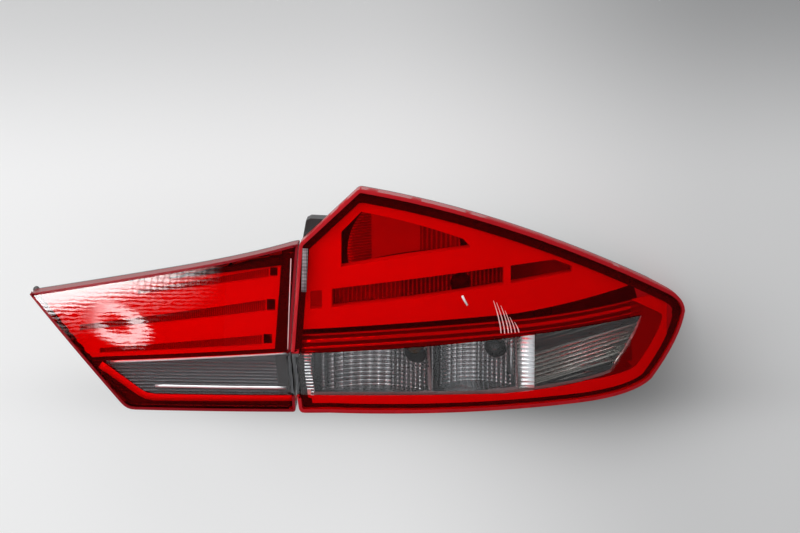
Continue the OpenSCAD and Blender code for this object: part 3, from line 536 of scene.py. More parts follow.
        # Clear bulb glass tinted dark grey: painted shade
        self.bulb_painted_dark = LensFinish("bulb_glass_painted_shade", (0.30, 0.31, 0.32), (0.24, 0.25, 0.26),
                                     (0.3, 0.3, 0.3), 0.01, 1.5).material(self.groups)
        self.bulb_amber = LensFinish("bulb_amber", (0.95, 0.42, 0.03), (0.90, 0.38, 0.03),
                                     (0.95, 0.5, 0.05), 0.01, 1.5).material(self.groups)

    def _solid(self, name: str, colour: Colour, shade: Colour, roughness: float, spread: float) -> bpy.types.Material:
        """Return the material of a plain moulding.

        Args:
            name: The material's name.
            colour: Its colour.
            shade: The shade it varies to.
            roughness: Its mean roughness.
            spread: How much the roughness varies.

        Returns:
            The material.
        """
        return Finish(name, colour, shade, roughness, spread, grain_height=0.05).material(self.groups)


def dress(node: str, material: bpy.types.Material) -> None:
    """Give a carried-over CAD node a material.

    Args:
        node: The CAD node's name.
        material: The material that its slots take.
    """
    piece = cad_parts[node]
    piece.data.materials.clear()
    piece.data.materials.append(material)
    LOG.info("dressed %s with %s", node, material.name)


def stand_in(mesh: bpy.types.Mesh, name: str, slot: str, *nodes: str) -> bpy.types.Object:
    """Show a finished mesh as a piece that replaces CAD nodes.

    Args:
        mesh: The mesh, in its place in the row frame.
        name: The piece's name.
        slot: The record's material slot; not used.
        *nodes: The CAD nodes that it stands for.

    Returns:
        The new piece.
    """
    piece = bpy.data.objects.new(name, mesh)
    bpy.context.scene.collection.objects.link(piece)
    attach(piece, "root")
    if nodes:
        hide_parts(*nodes)
    LOG.info("built %s: %d faces", name, len(mesh.polygons))
    return piece


def merged_copy(node: str, name: str, material: bpy.types.Material, slot: str, sharp: float = 30.0) -> bpy.types.Object:
    """Stand a merged and smoothly shaded copy in for a CAD node.

    Args:
        node: The CAD node's name.
        name: The new piece's name.
        material: Its material.
        slot: The record's material slot.
        sharp: Angle in degrees past which an edge stays sharp.

    Returns:
        The new piece.
    """
    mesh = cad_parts[node].data.copy()
    mesh.name = name
    work = bmesh.new()
    work.from_mesh(mesh)
    bmesh.ops.remove_doubles(work, verts=work.verts, dist=2e-6)
    for face in work.faces:
        face.smooth = True
    work.to_mesh(mesh)
    work.free()
    mesh.set_sharp_from_angle(angle=math.radians(sharp))
    mesh.materials.clear()
    mesh.materials.append(material)
    return stand_in(mesh, name, slot, node)


@dataclass
class WingReflector:
    """The lower reflector of the wing lamp, with a finish for each of its parts; the darker finishes are painted shade.
    """

    name: str = "outer_lower_reflector_silvered"
    ridge_depth: float = 11.4
    wing_start: float = 203.0
    dish_split: float = 133.0
    tip_start: float = 318.0
    skirt_left: float = 14.0
    step_depth: float = 8.3
    facet_end: float = 220.0
    facet_front: float = 5.5
    facet_low: float = 9.0
    flute_pitch: float = 3.9
    flute_sag: float = 0.9
    sharp: float = 35.0

    @staticmethod
    def window_top(x: float) -> float:
        """Return the height of the clear window's upper line at x, in millimetres."""
        share = (340.0 - math.sqrt(340.0**2 - 40.0 * x)) / 20.0
        return (1.0 - share) ** 2 * 52.0 + 2.0 * share * (1.0 - share) * 56.0 + share * share * 68.0

    def build(self, finishes: "Finishes") -> bpy.types.Object:
        """Build the dressed copy that stands for the reflector's node, and the bright facet beside the wing.

        Args:
            finishes: The cluster's finishes.

        Returns:
            The copy of the reflector.
        """
        piece = merged_copy("outer_lower_reflector", self.name, finishes.ridge, "metallised", self.sharp)
        mesh = piece.data
        for material in (finishes.dish_left, finishes.wing, finishes.mirror, finishes.shade, finishes.tip_painted_shade,
                         finishes.dish_right):
            mesh.materials.append(material)
        # The recessed steps of the ridge, the skirt right of its left edge, the plate past the tip and the wing take
        # darker copies of the silvered finish: painted shade
        for face in mesh.polygons:
            at = face.center / MM + ORIGIN
            depth = WING_FACE.depth_at(*at)
            if depth > self.ridge_depth:
                face.material_index = 2 if at.x > self.wing_start else 6 if at.x > self.dish_split else 1
            elif at.z < self.window_top(max(at.x, 0.0)) and at.x < self.tip_start:
                face.material_index = 3 if at.x < self.skirt_left else 4
            elif at.x > self.tip_start:
                face.material_index = 5
            elif depth > self.step_depth:
                face.material_index = 4
        self._facet(finishes.facet)
        return piece

    def _facet(self, material: bpy.types.Material) -> None:
        """Build the fluted facet that rises from the reversing dish to the wing.

        Args:
            material: Its finish.
        """
        high = self.window_top(self.facet_end) - 1.0
        rows = int((high - self.facet_low) / self.flute_pitch * 8.0)
        work = bmesh.new()
        bmesh.ops.create_grid(work, x_segments=3, y_segments=rows, size=0.5)
        low_depth = self.ridge_depth + 2.5
        for vert in work.verts:
            across = vert.co.x + 0.5
            z = self.facet_low + (vert.co.y + 0.5) * (high - self.facet_low)
            phase = (z / self.flute_pitch) % 1.0
            sag = self.flute_sag * (1.0 - (2.0 * phase - 1.0) ** 2)
            x = self.wing_start + min(across * 1.5, 1.0) * (self.facet_end - self.wing_start)
            depth = low_depth + (self.facet_front - low_depth) * min(across * 1.5, 1.0) + sag
            if across > 0.99:
                depth = low_depth
            vert.co = WING_FACE.point(x, z, depth)
        for face in work.faces:
            face.smooth = True
        bmesh.ops.recalc_face_normals(work, faces=work.faces)
        facing = sum((face.normal.y for face in work.faces), 0.0)
        if facing > 0.0:
            bmesh.ops.reverse_faces(work, faces=work.faces)
        mesh = bpy.data.meshes.new("reversing_facet")
        work.to_mesh(mesh)
        work.free()
        mesh.materials.append(material)
        piece = stand_in(mesh, "reversing_facet", "metallised")
        wall = piece.modifiers.new("wall", "SOLIDIFY")
        wall.thickness = 0.8 * MM
        wall.offset = -1.0


@dataclass
class StopReflector:
    """The upper reflector: a copy whose dish behind the cavity has its own finish."""

    cavity_low: float = 124.0
    sharp: float = 35.0

    def build(self, plate: bpy.types.Material, cavity: bpy.types.Material) -> bpy.types.Object:
        """Build the dressed copy that stands for the reflector's node.

        Args:
            plate: The finish of the ribbed plate behind the slots.
            cavity: The finish of the dish behind the cavity.

        Returns:
            The new piece.
        """
        piece = merged_copy("outer_stop_reflector", "outer_stop_reflector_silvered", plate, "metallised", self.sharp)
        piece.data.materials.append(cavity)
        for face in piece.data.polygons:
            if (face.center / MM + ORIGIN).z > self.cavity_low:
                face.material_index = 1
        return piece


@dataclass
class Strip:
    """A thin strip inside or on a lens that follows a line of the front view at one depth."""

    name: str
    face: LampFace
    line: tuple[Point, ...]
    depth: float
    widths: tuple[float, float]
    slot: str
    thickness: float = 0.5
    step: float = 8.0

    def _stations(self) -> list[Vector]:
        """Return the line's points, no further apart than the step."""
        points = [Vector(point) for point in self.line]
        stations = [points[0]]
        for start, end in zip(points, points[1:]):
            count = max(1, math.ceil((end - start).length / self.step))
            stations.extend(start.lerp(end, i / count) for i in range(1, count + 1))
        return stations

    def build(self, material: bpy.types.Material) -> bpy.types.Object:
        """Build the strip to the left of its line.

        Args:
            material: Its finish.

        Returns:
            The new piece.
        """
        stations = self._stations()
        work = bmesh.new()
        rows = []
        for i, at in enumerate(stations):
            before = stations[max(i - 1, 0)]
            after = stations[min(i + 1, len(stations) - 1)]
            along = (after - before).normalized()
            share = i / (len(stations) - 1)
            width = self.widths[0] + (self.widths[1] - self.widths[0]) * share
            side = at + Vector((-along.y, along.x)) * width
            rows.append([work.verts.new(self.face.point(point.x, point.y, self.depth)) for point in (at, side)])
        for low, high in zip(rows, rows[1:]):
            work.faces.new((low[0], high[0], high[1], low[1]))
        for face in work.faces:
            face.smooth = True
            face.normal_update()
        if sum((face.normal.y for face in work.faces), 0.0) > 0.0:
            bmesh.ops.reverse_faces(work, faces=work.faces)
        mesh = bpy.data.meshes.new(self.name)
        work.to_mesh(mesh)
        work.free()
        mesh.materials.append(material)
        piece = stand_in(mesh, self.name, self.slot)
        wall = piece.modifiers.new("wall", "SOLIDIFY")
        wall.thickness = self.thickness * MM
        wall.offset = -1.0
        return piece


@dataclass
class LensStreaks:
    """A fan of fine prisms moulded into the wing lens above the ridge, which catch the light from the left; their pale
    pink colour is a painted highlight.
    """

    feet: tuple[Point, ...] = ((187.0, 64.5), (190.5, 64.0), (194.0, 64.0), (197.0, 64.0), (200.5, 64.0), (204.0, 64.0))
    tops: tuple[Point, ...] = ((180.0, 95.0), (183.0, 93.0), (187.0, 90.0), (191.0, 85.0), (195.5, 79.0), (200.0, 74.0))
    width: float = 1.3
    height: float = 0.8
    steps: int = 8

    def build(self, material: bpy.types.Material) -> bpy.types.Object:
        """Build the prisms as one piece on the lens's face.

        Args:
            material: Their pale finish, a painted highlight.

        Returns:
            The new piece.
        """
        work = bmesh.new()
        for foot, top in zip(self.feet, self.tops):
            self._prism(work, foot, top)
        bmesh.ops.recalc_face_normals(work, faces=work.faces)
        mesh = bpy.data.meshes.new("wing_lens_prisms")
        work.to_mesh(mesh)
        work.free()
        mesh.materials.append(material)
        return stand_in(mesh, "wing_lens_prisms", "red_lens")

    def _prism(self, work: bmesh.types.BMesh, foot: Point, top: Point) -> None:
        """Sweep one three-sided section from foot to top, thinner towards its ends.

        Args:
            work: The mesh that it is added to.
            foot: Its lower end in the front view.
            top: Its upper end.
        """
        rings = []
        for i in range(self.steps + 1):
            share = i / self.steps
            x = foot[0] + (top[0] - foot[0]) * share**1.4
            z = foot[1] + (top[1] - foot[1]) * share
            size = max(math.sin(math.pi * min(0.5 * share + 0.25, 1.0) ** 1.0), 0.1) * (1.0 - 0.55 * share)
            corners = ((0.0, 0.05), (self.width * size, -self.height * size), (self.width * size * 1.15, 0.05))
            rings.append([work.verts.new(WING_FACE.point(x + dx, z, depth)) for dx, depth in corners])
        for lower, upper in zip(rings, rings[1:]):
            for i in range(3):
                work.faces.new((lower[i], lower[(i + 1) % 3], upper[(i + 1) % 3], upper[i]))
        work.faces.new(rings[0])
        work.faces.new(rings[-1])


@dataclass
class LensShell:
    """One shot of a lens: a curved pane whose rim turns back to the housing, with a rounded corner.

    Its outline comes from the CAD node that it replaces.
    """

    node: str
    name: str
    face: LampFace
    slot: str
    pane: bpy.types.Material
    rim: bpy.types.Material
    thickness: float = 3.0
    rim_depth: float = 22.0
    rim_width: float = 2.0
    corner: float = 1.5
    grid: float = 8.0

    def build(self) -> bpy.types.Object:
        """Build the lens shot and stand it in for its node.

        Returns:
            The new piece.
        """
        work = bmesh.new()
        work.from_mesh(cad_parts[self.node].data)
        bmesh.ops.remove_doubles(work, verts=work.verts, dist=2e-6)
        self._keep_front(work)
        self._mark_rim(work)
        self._divide(work)
        self._turn_back(work)
        self._finish(work)
        mesh = bpy.data.meshes.new(self.name)
        work.to_mesh(mesh)
        work.free()
        mesh.materials.append(self.pane)
        mesh.materials.append(self.rim)
        piece = stand_in(mesh, self.name, self.slot, self.node)
        wall = piece.modifiers.new("wall", "SOLIDIFY")
        wall.thickness = self.thickness * MM
        wall.offset = -1.0
        return piece

    def _depth(self, co: Vector) -> float:
        """Return a point's depth behind the lamp's face, in millimetres."""
        return self.face.depth_at(*(co / MM + ORIGIN))

    def _keep_front(self, work: bmesh.types.BMesh) -> None:
        """Reduce the merged solid to one flat front face, and keep the rim's back line for reference.

        Args:
            work: The merged solid, which becomes a single face.
        """
        depths = {vert: self._depth(vert.co) for vert in work.verts}
        self.back_line = [
            (edge.verts[0].co.copy(), edge.verts[1].co.copy()) for edge in work.edges
            if all(abs(depths[vert] - self.rim_depth) < 0.15 for vert in edge.verts)
        ]
        behind = [face for face in work.faces if any(depths[vert] > 0.1 for vert in face.verts)]
        bmesh.ops.delete(work, geom=behind, context="FACES")
        bmesh.ops.dissolve_faces(work, faces=work.faces[:], use_verts=False)
        for vert in work.verts:
            vert.co.y = 0.0

    def _mark_rim(self, work: bmesh.types.BMesh) -> None:
        """Flag the edges of the outline that turn back, which are not those where red meets clear.

        Args:
            work: The flat front face.
        """
        layer = work.edges.layers.int.new("turns_back")
        for edge in work.edges:
            middle = (edge.verts[0].co + edge.verts[1].co) / 2.0
            edge[layer] = int(any(self._near(middle, a, b) for a, b in self.back_line))

    @staticmethod
    def _near(point: Vector, a: Vector, b: Vector) -> bool:
        """Return whether a front-view point lies within half a millimetre of a line from a to b."""
        start = Vector((a.x, a.z))
        along = Vector((b.x, b.z)) - start
        offset = Vector((point.x, point.z)) - start
        share = min(max(offset.dot(along) / max(along.length_squared, 1e-12), 0.0), 1.0)
        return (offset - along * share).length < 0.5 * MM

    def _divide(self, work: bmesh.types.BMesh) -> None:
        """Add the ring along the outline, cut the face into a grid and curve it.

        Args:
            work: The flat front face with its rim flagged.
        """
        layer = work.edges.layers.int["turns_back"]
        ring = bmesh.ops.inset_region(work, faces=work.faces[:], thickness=self.rim_width * MM, use_even_offset=True,
                                      use_boundary=True)["faces"]
        for face in ring:
            if any(edge.is_boundary and edge[layer] for edge in face.edges):
                face.material_index = 1
        for axis in (0, 2):
            low = min(vert.co[axis] for vert in work.verts)
            high = max(vert.co[axis] for vert in work.verts)
            step = self.grid * MM
            for i in range(1, int((high - low) / step) + 1):
                at = Vector((0.0, 0.0, 0.0))
                at[axis] = low + i * step
                normal = Vector((0.0, 0.0, 0.0))
                normal[axis] = 1.0
                bmesh.ops.bisect_plane(work, geom=work.verts[:] + work.edges[:] + work.faces[:], plane_co=at,
                                       plane_no=normal, dist=1e-6)
        self._curve(work.verts, 0.0)

    def _curve(self, verts: Sequence[bmesh.types.BMVert], depth: float) -> None:
        """Move vertices along Y onto the surface at a depth.

        Args:
            verts: The vertices.
            depth: The depth behind the face, in millimetres.
        """
        for vert in verts:
            x = vert.co.x / MM + ORIGIN.x
            z = vert.co.z / MM + ORIGIN.z
            vert.co.y = (self.face.y_at(x, z, depth) - ORIGIN.y) * MM

    def _turn_back(self, work: bmesh.types.BMesh) -> None:
        """Extrude the rim back to the housing and round its corner.

        Args:
            work: The curved pane.
        """
        layer = work.edges.layers.int["turns_back"]
        rim_edges = [edge for edge in work.edges if edge.is_boundary and edge[layer]]
        extruded = bmesh.ops.extrude_edge_only(work, edges=rim_edges)["geom"]
        self._curve([item for item in extruded if isinstance(item, bmesh.types.BMVert)], self.rim_depth)
        for face in (item for item in extruded if isinstance(item, bmesh.types.BMFace)):
            face.material_index = 1
        bmesh.ops.recalc_face_normals(work, faces=work.faces)
        corner_edges = [edge for edge in rim_edges if edge.is_valid and len(edge.link_faces) == 2]
        bmesh.ops.bevel(work, geom=corner_edges, offset=self.corner * MM, offset_type="OFFSET", segments=3,
                        profile=0.5, affect="EDGES", material=-1, clamp_overlap=True)

    def _finish(self, work: bmesh.types.BMesh) -> None:
        """Turn the pane outwards and shade it smoothly, with its open edges sharp.

        Args:
            work: The turned-back pane.
        """
        bmesh.ops.remove_doubles(work, verts=work.verts, dist=0.02 * MM)
        bmesh.ops.dissolve_degenerate(work, dist=0.02 * MM, edges=work.edges)
        self._curve([vert for vert in work.verts if self._depth(vert.co) < 0.0], 0.0)
        bmesh.ops.recalc_face_normals(work, faces=work.faces)
        if sum(face.normal.y * face.calc_area() for face in work.faces) > 0.0:
            bmesh.ops.reverse_faces(work, faces=work.faces)
        for face in work.faces:
            face.smooth = True
        for edge in work.edges:
            edge.smooth = len(edge.link_faces) == 2 and edge.calc_face_angle() < math.radians(40.0)


@dataclass
class Studio:
    """Camera, backdrop and soft lights."""

    target: tuple[float, float, float] = (93.0, 22.0, 130.0)
    elevation: float = 10.0
    distance: float = 1431.0
    frame_width: float = 736.0
    backdrop_y: float = 141.0
    backdrop_tone: float = 0.37
    # Painted light falloff of the paper's glow, darker to the right and towards the top; each painted shadow gives
    # centre x, centre z, reach x, reach z in metres and its amount
    painted_falloff_right: tuple[float, float, float, float] = (-0.02, 0.36, 0.57, 0.31)
    painted_falloff_top: tuple[float, float, float, float] = (0.03, 0.26, 0.0, 0.31)
    painted_shadows: tuple[tuple[float, float, float, float, float], ...] = (
        (0.21, -0.140, 0.14, 0.070, 0.74), (0.05, -0.172, 0.24, 0.028, 0.62))
    card_low: tuple[float, float, float] = (-1.25, -1.55, -0.10)
    card_high: tuple[float, float, float] = (-0.42, -1.55, 0.50)
    card_strength: float = 24.0

    def camera(self) -> bpy.types.Object:
        """Place the camera at the photograph's viewing angle.

        Returns:
            The camera object.
        """
        data = bpy.data.cameras.new("camera")
        data.sensor_width = 36.0
        data.lens = 36.0 * self.distance / self.frame_width
        data.clip_end = 50.0
        camera = bpy.data.objects.new("camera", data)
        angle = math.radians(self.elevation)
        x, y, z = self.target
        camera.location = place(x, y - self.distance * math.cos(angle), z + self.distance * math.sin(angle))
        camera.rotation_euler = (math.radians(90.0) - angle, 0.0, 0.0)
        bpy.context.scene.collection.objects.link(camera)
        bpy.context.scene.camera = camera
        return camera

    def backdrop(self) -> bpy.types.Object:
        """Build the pale board that the lamps lie against.

        Returns:
            The backdrop object, which is seen only from its front.
        """
        work = bmesh.new()
        bmesh.ops.create_grid(work, x_segments=1, y_segments=1, size=3.0)
        for vert in work.verts:
            vert.co = Vector((vert.co.x, (self.backdrop_y - ORIGIN.y) * MM, vert.co.y))
        bmesh.ops.recalc_face_normals(work, faces=work.faces)
        for face in work.faces:
            face.normal_update()
            if face.normal.y > 0.0:
                face.normal_flip()
        mesh = bpy.data.meshes.new("backdrop")
        work.to_mesh(mesh)
        work.free()
        mesh.materials.append(self._board())
        board = bpy.data.objects.new("backdrop", mesh)
        bpy.context.scene.collection.objects.link(board)
        return board

    def _board(self) -> bpy.types.Material:
        """Return the backdrop's matt paper: open from behind, pale to the eye and to what reflects it, with a painted
        light falloff to the right and top and painted shadows under the lamps.
        """
        material = bpy.data.materials.new("backdrop_paper")
        material.use_nodes = True
        nodes = material.node_tree.nodes
        graph = Graph(material.node_tree)
        shader = nodes["Principled BSDF"]
        shader.inputs["Roughness"].default_value = 0.9
        shader.inputs["Specular IOR Level"].default_value = 0.1
        coords = graph.add("TexCoord")
        split = graph.add("SeparateXYZ")
        graph.join(coords.outputs["Object"], split.inputs[0])
        # Painted shadows under the lamps darken both the paper's colour and its glow
        shade = self._painted_shadow(graph, split)
        graph.join(graph.math("MULTIPLY", shade, self.backdrop_tone), shader.inputs["Base Color"])
        # Painted light falloff: the glow is graded darker to the right and towards the top
        level = graph.math("SUBTRACT", graph.ramp(split.outputs["X"], *self.painted_falloff_right),
                           graph.ramp(split.outputs["Z"], *self.painted_falloff_top))
        glow = graph.add("Emission")
        graph.join(graph.math("MULTIPLY", level, shade), glow.inputs["Strength"])
        seen = self._seen_directly(graph)
        glow_or_not = graph.add("MixShader")
        graph.join(seen, glow_or_not.inputs["Fac"])
        graph.join(glow.outputs[0], glow_or_not.inputs[2])
        both = graph.add("AddShader")
        graph.join(shader.outputs["BSDF"], both.inputs[0])
        graph.join(glow_or_not.outputs[0], both.inputs[1])
        geometry = graph.add("NewGeometry")
        clear = graph.add("BsdfTransparent")
        mix = graph.add("MixShader")
        graph.join(geometry.outputs["Backfacing"], mix.inputs["Fac"])
        graph.join(both.outputs[0], mix.inputs[1])
        graph.join(clear.outputs["BSDF"], mix.inputs[2])
        graph.join(mix.outputs["Shader"], nodes["Material Output"].inputs["Surface"])
        return material

    def _painted_shadow(self, graph: Graph, split: bpy.types.Node) -> bpy.types.NodeSocket:
        """Return the painted shadow: the factor by which the paper is darker close under the lamps.

        Args:
            graph: The paper's material.
            split: The node that holds the point's coordinates.

        Returns:
            One far from the lamps, and less near them.
        """
        shade = None
        for centre_x, centre_z, reach_x, reach_z, amount in self.painted_shadows:
            across = graph.math("DIVIDE", graph.math("SUBTRACT", split.outputs["X"], centre_x), reach_x)
            up = graph.math("DIVIDE", graph.math("SUBTRACT", split.outputs["Z"], centre_z), reach_z)
            reach = graph.math("ADD", graph.math("MULTIPLY", across, across), graph.math("MULTIPLY", up, up))
            falloff = graph.math("EXPONENT", graph.math("MULTIPLY", reach, -1.0))
            factor = graph.math("SUBTRACT", 1.0, graph.math("MULTIPLY", falloff, amount))
            shade = factor if shade is None else graph.math("MULTIPLY", shade, factor)
        return shade

    @staticmethod
    def _seen_directly(graph: Graph) -> bpy.types.NodeSocket:
        """Return one for rays from the eye, from gloss and through glass, and zero for light rays."""
        path = graph.add("LightPath")
        either = graph.add("Math", operation="MAXIMUM")
        graph.join(path.outputs[Ray.CAMERA.value], either.inputs[0])
        graph.join(path.outputs[Ray.TRANSMISSION.value], either.inputs[1])
        any_of = graph.add("Math", operation="MAXIMUM")
        graph.join(either.outputs[0], any_of.inputs[0])
        graph.join(path.outputs[Ray.GLOSSY.value], any_of.inputs[1])
        return any_of.outputs[0]

    def world(self) -> None:
        """Set a pale world for what sees the background, and a dimmer one for fill light."""
        world = bpy.data.worlds.new("studio")
        bpy.context.scene.world = world
        world.use_nodes = True
        nodes = world.node_tree.nodes
        graph = Graph(world.node_tree)
        fill = nodes["Background"]
        fill.inputs["Color"].default_value = (0.95, 0.97, 1.0, 1.0)
        fill.inputs["Strength"].default_value = 0.45
        seen = graph.add("Background")
        seen.inputs["Color"].default_value = (0.80, 0.80, 0.81, 1.0)
        seen.inputs["Strength"].default_value = 1.0
        mix = graph.add("MixShader")
        graph.join(self._seen_directly(graph), mix.inputs["Fac"])
        graph.join(fill.outputs[0], mix.inputs[1])
        graph.join(seen.outputs[0], mix.inputs[2])
        graph.join(mix.outputs[0], nodes["World Output"].inputs["Surface"])

    def softbox(self, name: str, at: tuple[float, float, float], towards: tuple[float, float, float],
                size: tuple[float, float], power: float) -> bpy.types.Object:
        """Add a rectangular soft light.

        Args:
            name: The light's name.
            at: Its place in metres in the row frame.
            towards: The point it faces.
            size: Its width and height in metres.
            power: Its power in watts.

        Returns:
            The light object.
        """
        data = bpy.data.lights.new(name, "AREA")
        data.shape = "RECTANGLE"
        data.size = size[0]
        data.size_y = size[1]
        data.energy = power
        light = bpy.data.objects.new(name, data)
        light.location = at
        light.rotation_euler = (Vector(towards) - Vector(at)).to_track_quat("-Z", "Y").to_euler()
        bpy.context.scene.collection.objects.link(light)
        return light

    def card(self) -> bpy.types.Object:
        """Stand a bright card at the left, which only reflections see, as a window with blinds.

        Returns:
            The card object.
        """
        low = Vector(self.card_low)
        high = Vector(self.card_high)
        work = bmesh.new()
        bmesh.ops.create_grid(work, x_segments=1, y_segments=1, size=0.5)
        for vert in work.verts:
            share = Vector((vert.co.x + 0.5, 0.0, vert.co.y + 0.5))
            vert.co = Vector((low.x + share.x * (high.x - low.x), low.y, low.z + share.z * (high.z - low.z)))
        mesh = bpy.data.meshes.new("bright_card")
        work.to_mesh(mesh)
        work.free()
        mesh.materials.append(self._card_paper())
        card = bpy.data.objects.new("bright_card", mesh)
        bpy.context.scene.collection.objects.link(card)
        card.visible_camera = False
        card.visible_diffuse = False
        card.visible_transmission = False
        card.visible_shadow = False
        card.visible_volume_scatter = False
        return card

    def _card_paper(self) -> bpy.types.Material:
        """Return the card's glow, which fades to the right and below and is broken by wavy slats."""
        material = bpy.data.materials.new("bright_card")
        material.use_nodes = True
        nodes = material.node_tree.nodes
        nodes.remove(nodes["Principled BSDF"])
        graph = Graph(material.node_tree)
        coords = graph.add("TexCoord")
        split = graph.add("SeparateXYZ")
        graph.join(coords.outputs["Object"], split.inputs[0])
        across = split.outputs["X"]
        up = split.outputs["Z"]
        ripple = graph.add("TexWave", wave_type="BANDS", bands_direction="Z")
        ripple.inputs["Scale"].default_value = 16.0
        ripple.inputs["Distortion"].default_value = 5.0
        ripple.inputs["Detail"].default_value = 1.0
        ripple.inputs["Detail Scale"].default_value = 0.4
        graph.join(coords.outputs["Object"], ripple.inputs["Vector"])
        slat = graph.add("TexWave", wave_type="BANDS", bands_direction="X")
        slat.inputs["Scale"].default_value = 13.0
        slat.inputs["Distortion"].default_value = 1.5
        graph.join(coords.outputs["Object"], slat.inputs["Vector"])
        # The pane: white above a line that rises to the right, rippled at its lower edge and slatted at the right
        edge = graph.math("MULTIPLY_ADD", across, 0.30, 0.444)
        above = graph.math("SUBTRACT", up, edge)
        waved = graph.math("MULTIPLY_ADD", ripple.outputs["Fac"], 0.07, above)
        pane = graph.ramp(waved, -0.02, 0.075)
        far = graph.ramp(across, -0.42, -0.72)
        slatted = graph.ramp(across, -0.72, -0.84, 0.5, 0.0)
        gaps = graph.math("MULTIPLY", slatted, graph.ramp(slat.outputs["Fac"], 0.55, 0.2))
        pane = graph.math("MULTIPLY", graph.math("MULTIPLY", pane, far), graph.math("SUBTRACT", 1.0, gaps))
        # The curl: a bent ring below the pane, open at its left
        wide = graph.math("DIVIDE", graph.math("ADD", across, 0.83), 0.105)
        tall = graph.math("DIVIDE", graph.math("SUBTRACT", up, 0.045), 0.095)
        slanted = graph.math("MULTIPLY_ADD", tall, 0.45, wide)
        radius = graph.math("SQRT", graph.math("ADD", graph.math("MULTIPLY", slanted, slanted),
                                               graph.math("MULTIPLY", tall, tall)))
        bent = graph.math("MULTIPLY_ADD", ripple.outputs["Fac"], 0.35, radius)
        ring = graph.ramp(graph.math("ABSOLUTE", graph.math("SUBTRACT", bent, 1.0)), 0.42, 0.12)
        left = graph.ramp(wide, -1.2, -0.2, 0.1, 1.0)
        curl = graph.math("MULTIPLY", graph.math("MULTIPLY", ring, left), 0.62)
        tail = graph.math("MULTIPLY", graph.ramp(ripple.outputs["Fac"], 0.45, 0.85), graph.ramp(above, -0.20, -0.03))
        tail = graph.math("MULTIPLY", graph.math("MULTIPLY", tail, far), 0.20)
        total = graph.math("MAXIMUM", graph.math("MAXIMUM", pane, curl), tail)
        scaled = graph.math("MULTIPLY", total, self.card_strength)
        glow = graph.add("Emission")
        graph.join(scaled, glow.inputs["Strength"])
        graph.join(glow.outputs[0], nodes["Material Output"].inputs["Surface"])
        return material

    def flag(self) -> bpy.types.Object:
        """Stand a dark cloth in front, which only reflections see, as in a dark studio.

        Returns:
            The cloth object.
        """
        work = bmesh.new()
        bmesh.ops.create_cone(work, cap_ends=True, segments=48, radius1=3.2, radius2=3.2, depth=5.0)
        bmesh.ops.bisect_plane(work, geom=work.verts[:] + work.edges[:] + work.faces[:], plane_co=(0.0, 0.0, 0.0),
                               plane_no=(0.0, 1.0, 0.0), clear_outer=True)
        mesh = bpy.data.meshes.new("dark_cloth")
        work.to_mesh(mesh)
        work.free()
        material = bpy.data.materials.new("dark_cloth")
        material.use_nodes = True
        shader = material.node_tree.nodes["Principled BSDF"]
        shader.inputs["Base Color"].default_value = (0.03, 0.03, 0.032, 1.0)
        shader.inputs["Roughness"].default_value = 1.0
        mesh.materials.append(material)
        cloth = bpy.data.objects.new("dark_cloth", mesh)
        bpy.context.scene.collection.objects.link(cloth)
        cloth.visible_camera = False
        cloth.visible_diffuse = False
        cloth.visible_transmission = False
        cloth.visible_shadow = False
        cloth.visible_volume_scatter = False
        return cloth

    def build(self) -> None:
        """Set up the view, the background and the lights."""
        scene = bpy.context.scene
        scene.view_settings.view_transform = "Standard"
        self.camera()
        self.backdrop()
        self.world()
        self.flag()
        self.card()
        self.softbox("overhead_box", (-0.3, -0.9, 1.5), (0.0, 0.0, -0.05), (1.6, 0.9), 13.0)
        self.softbox("left_box", (-1.5, -1.1, 0.75), (0.0, 0.0, -0.05), (0.9, 0.9), 11.0)
        LOG.info("studio is set")


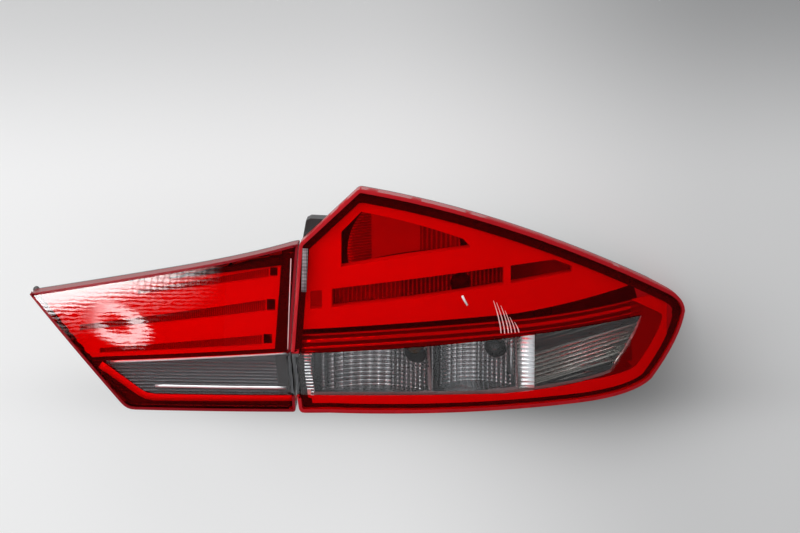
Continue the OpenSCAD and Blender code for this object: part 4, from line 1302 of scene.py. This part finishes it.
def dress_all(finishes: Finishes) -> None:
    """Give every carried-over node its material."""
    for node in ("outer_housing", "inner_housing", "outer_vent", "inner_vent", "stop_holder", "indicator_holder",
                 "reversing_holder", "inner_tail_holder"):
        dress(node, finishes.housing)
    for node in ("outer_bezel", "inner_bezel"):
        dress(node, finishes.bezel)
    for node in ("outer_light_panel", "outer_light_band", "inner_light_panel"):
        dress(node, finishes.panel)
    dress("inner_reflector", finishes.mirror)
    StopReflector().build(finishes.stop, finishes.cavity)
    for node in ("inner_rib_plate_upper", "inner_rib_plate_middle", "inner_rib_plate_lower"):
        dress(node, finishes.rib)
    WingReflector().build(finishes)
    # The prisms' pale colour is a painted highlight
    LensStreaks().build(finishes.painted_highlight)
    frame_line = ((-2.0, 12.0), (-134.0, 12.0), (-141.0, 13.0), (-146.0, 15.5), (-183.0, 41.0))
    Strip("inner_window_frame", LID_FACE, frame_line, 5.5, (5.0, 6.5), "light_panel").build(finishes.panel)
    Strip("inner_window_top_line", LID_FACE, ((-10.0, 52.0), (-176.0, 42.0)), 7.0, (2.0, 2.6),
          "metallised").build(finishes.facet)
    Strip("inner_window_low_bar", LID_FACE, ((-12.0, 20.0), (-134.0, 20.5)), 7.0, (2.6, 2.6),
          "metallised").build(finishes.facet)
    # A black tapered strip under the lid lens's top rim: painted shade
    Strip("inner_top_painted_shade", LID_FACE, ((-120.0, 117.5), (-60.0, 125.0), (-14.0, 131.0)), 7.5, (1.0, 10.0),
          "black_bezel").build(finishes.bezel)
    # The whitish strip on the wing lens's left flange is a painted reflection
    Strip("wing_lens_edge_painted_reflection", WING_FACE, ((3.4, 147.0), (2.6, 108.0)), -0.6, (5.2, 4.6), "red_lens",
          0.5).build(finishes.painted_edge_reflection)
    # The glint strip is a painted highlight
    Strip("wing_lens_painted_glint", WING_FACE, ((149.8, 100.6), (152.0, 96.5), (155.0, 91.6)), -0.7, (2.2, 1.6),
          "red_lens", 0.5).build(finishes.painted_glint)
    # A thin pale strip on the lid lens's flange edge: painted highlight
    Strip("lid_lens_edge_painted_highlight", LID_FACE, ((-9.6, 56.0), (-6.6, 138.0)), -0.5, (0.8, 0.8), "red_lens",
          0.4).build(finishes.painted_highlight)
    dress("inner_fluted_panel", finishes.fluted)
    for node in ("outer_reflector_screws", "inner_reflector_screws", "outer_studs", "inner_studs"):
        dress(node, finishes.steel)
    for node in ("outer_gasket", "inner_gasket", "outer_holder_rings", "inner_holder_ring"):
        dress(node, finishes.foam)
    dress("holder_terminals", finishes.brass)
    # The clear bulbs' glass is tinted dark grey as painted shade
    for node in ("stop_bulb", "reversing_bulb", "inner_tail_bulb"):
        dress(node, finishes.bulb_painted_dark)
    dress("indicator_bulb", finishes.bulb_amber)
    for lamp, face, rim, width in (("outer", WING_FACE, finishes.red_rim, 3.4),
                                   ("inner", LID_FACE, finishes.lid_rim_painted_shade, 2.4)):
        LensShell(f"{lamp}_lens_red", f"{lamp}_lens_red_shot", face, "red_lens", finishes.red_lens, rim,
                  rim_width=width).build()
        LensShell(f"{lamp}_lens_clear", f"{lamp}_lens_clear_shot", face, "clear_lens", finishes.clear_lens,
                  finishes.clear_rim, rim_width=width).build()


def main() -> None:
    """Build the studio and dress the cluster, piece by piece."""
    logging.basicConfig(level=logging.INFO)
    finishes = Finishes()
    dress_all(finishes)
    Studio().build()


if __name__ == "__main__":
    main()
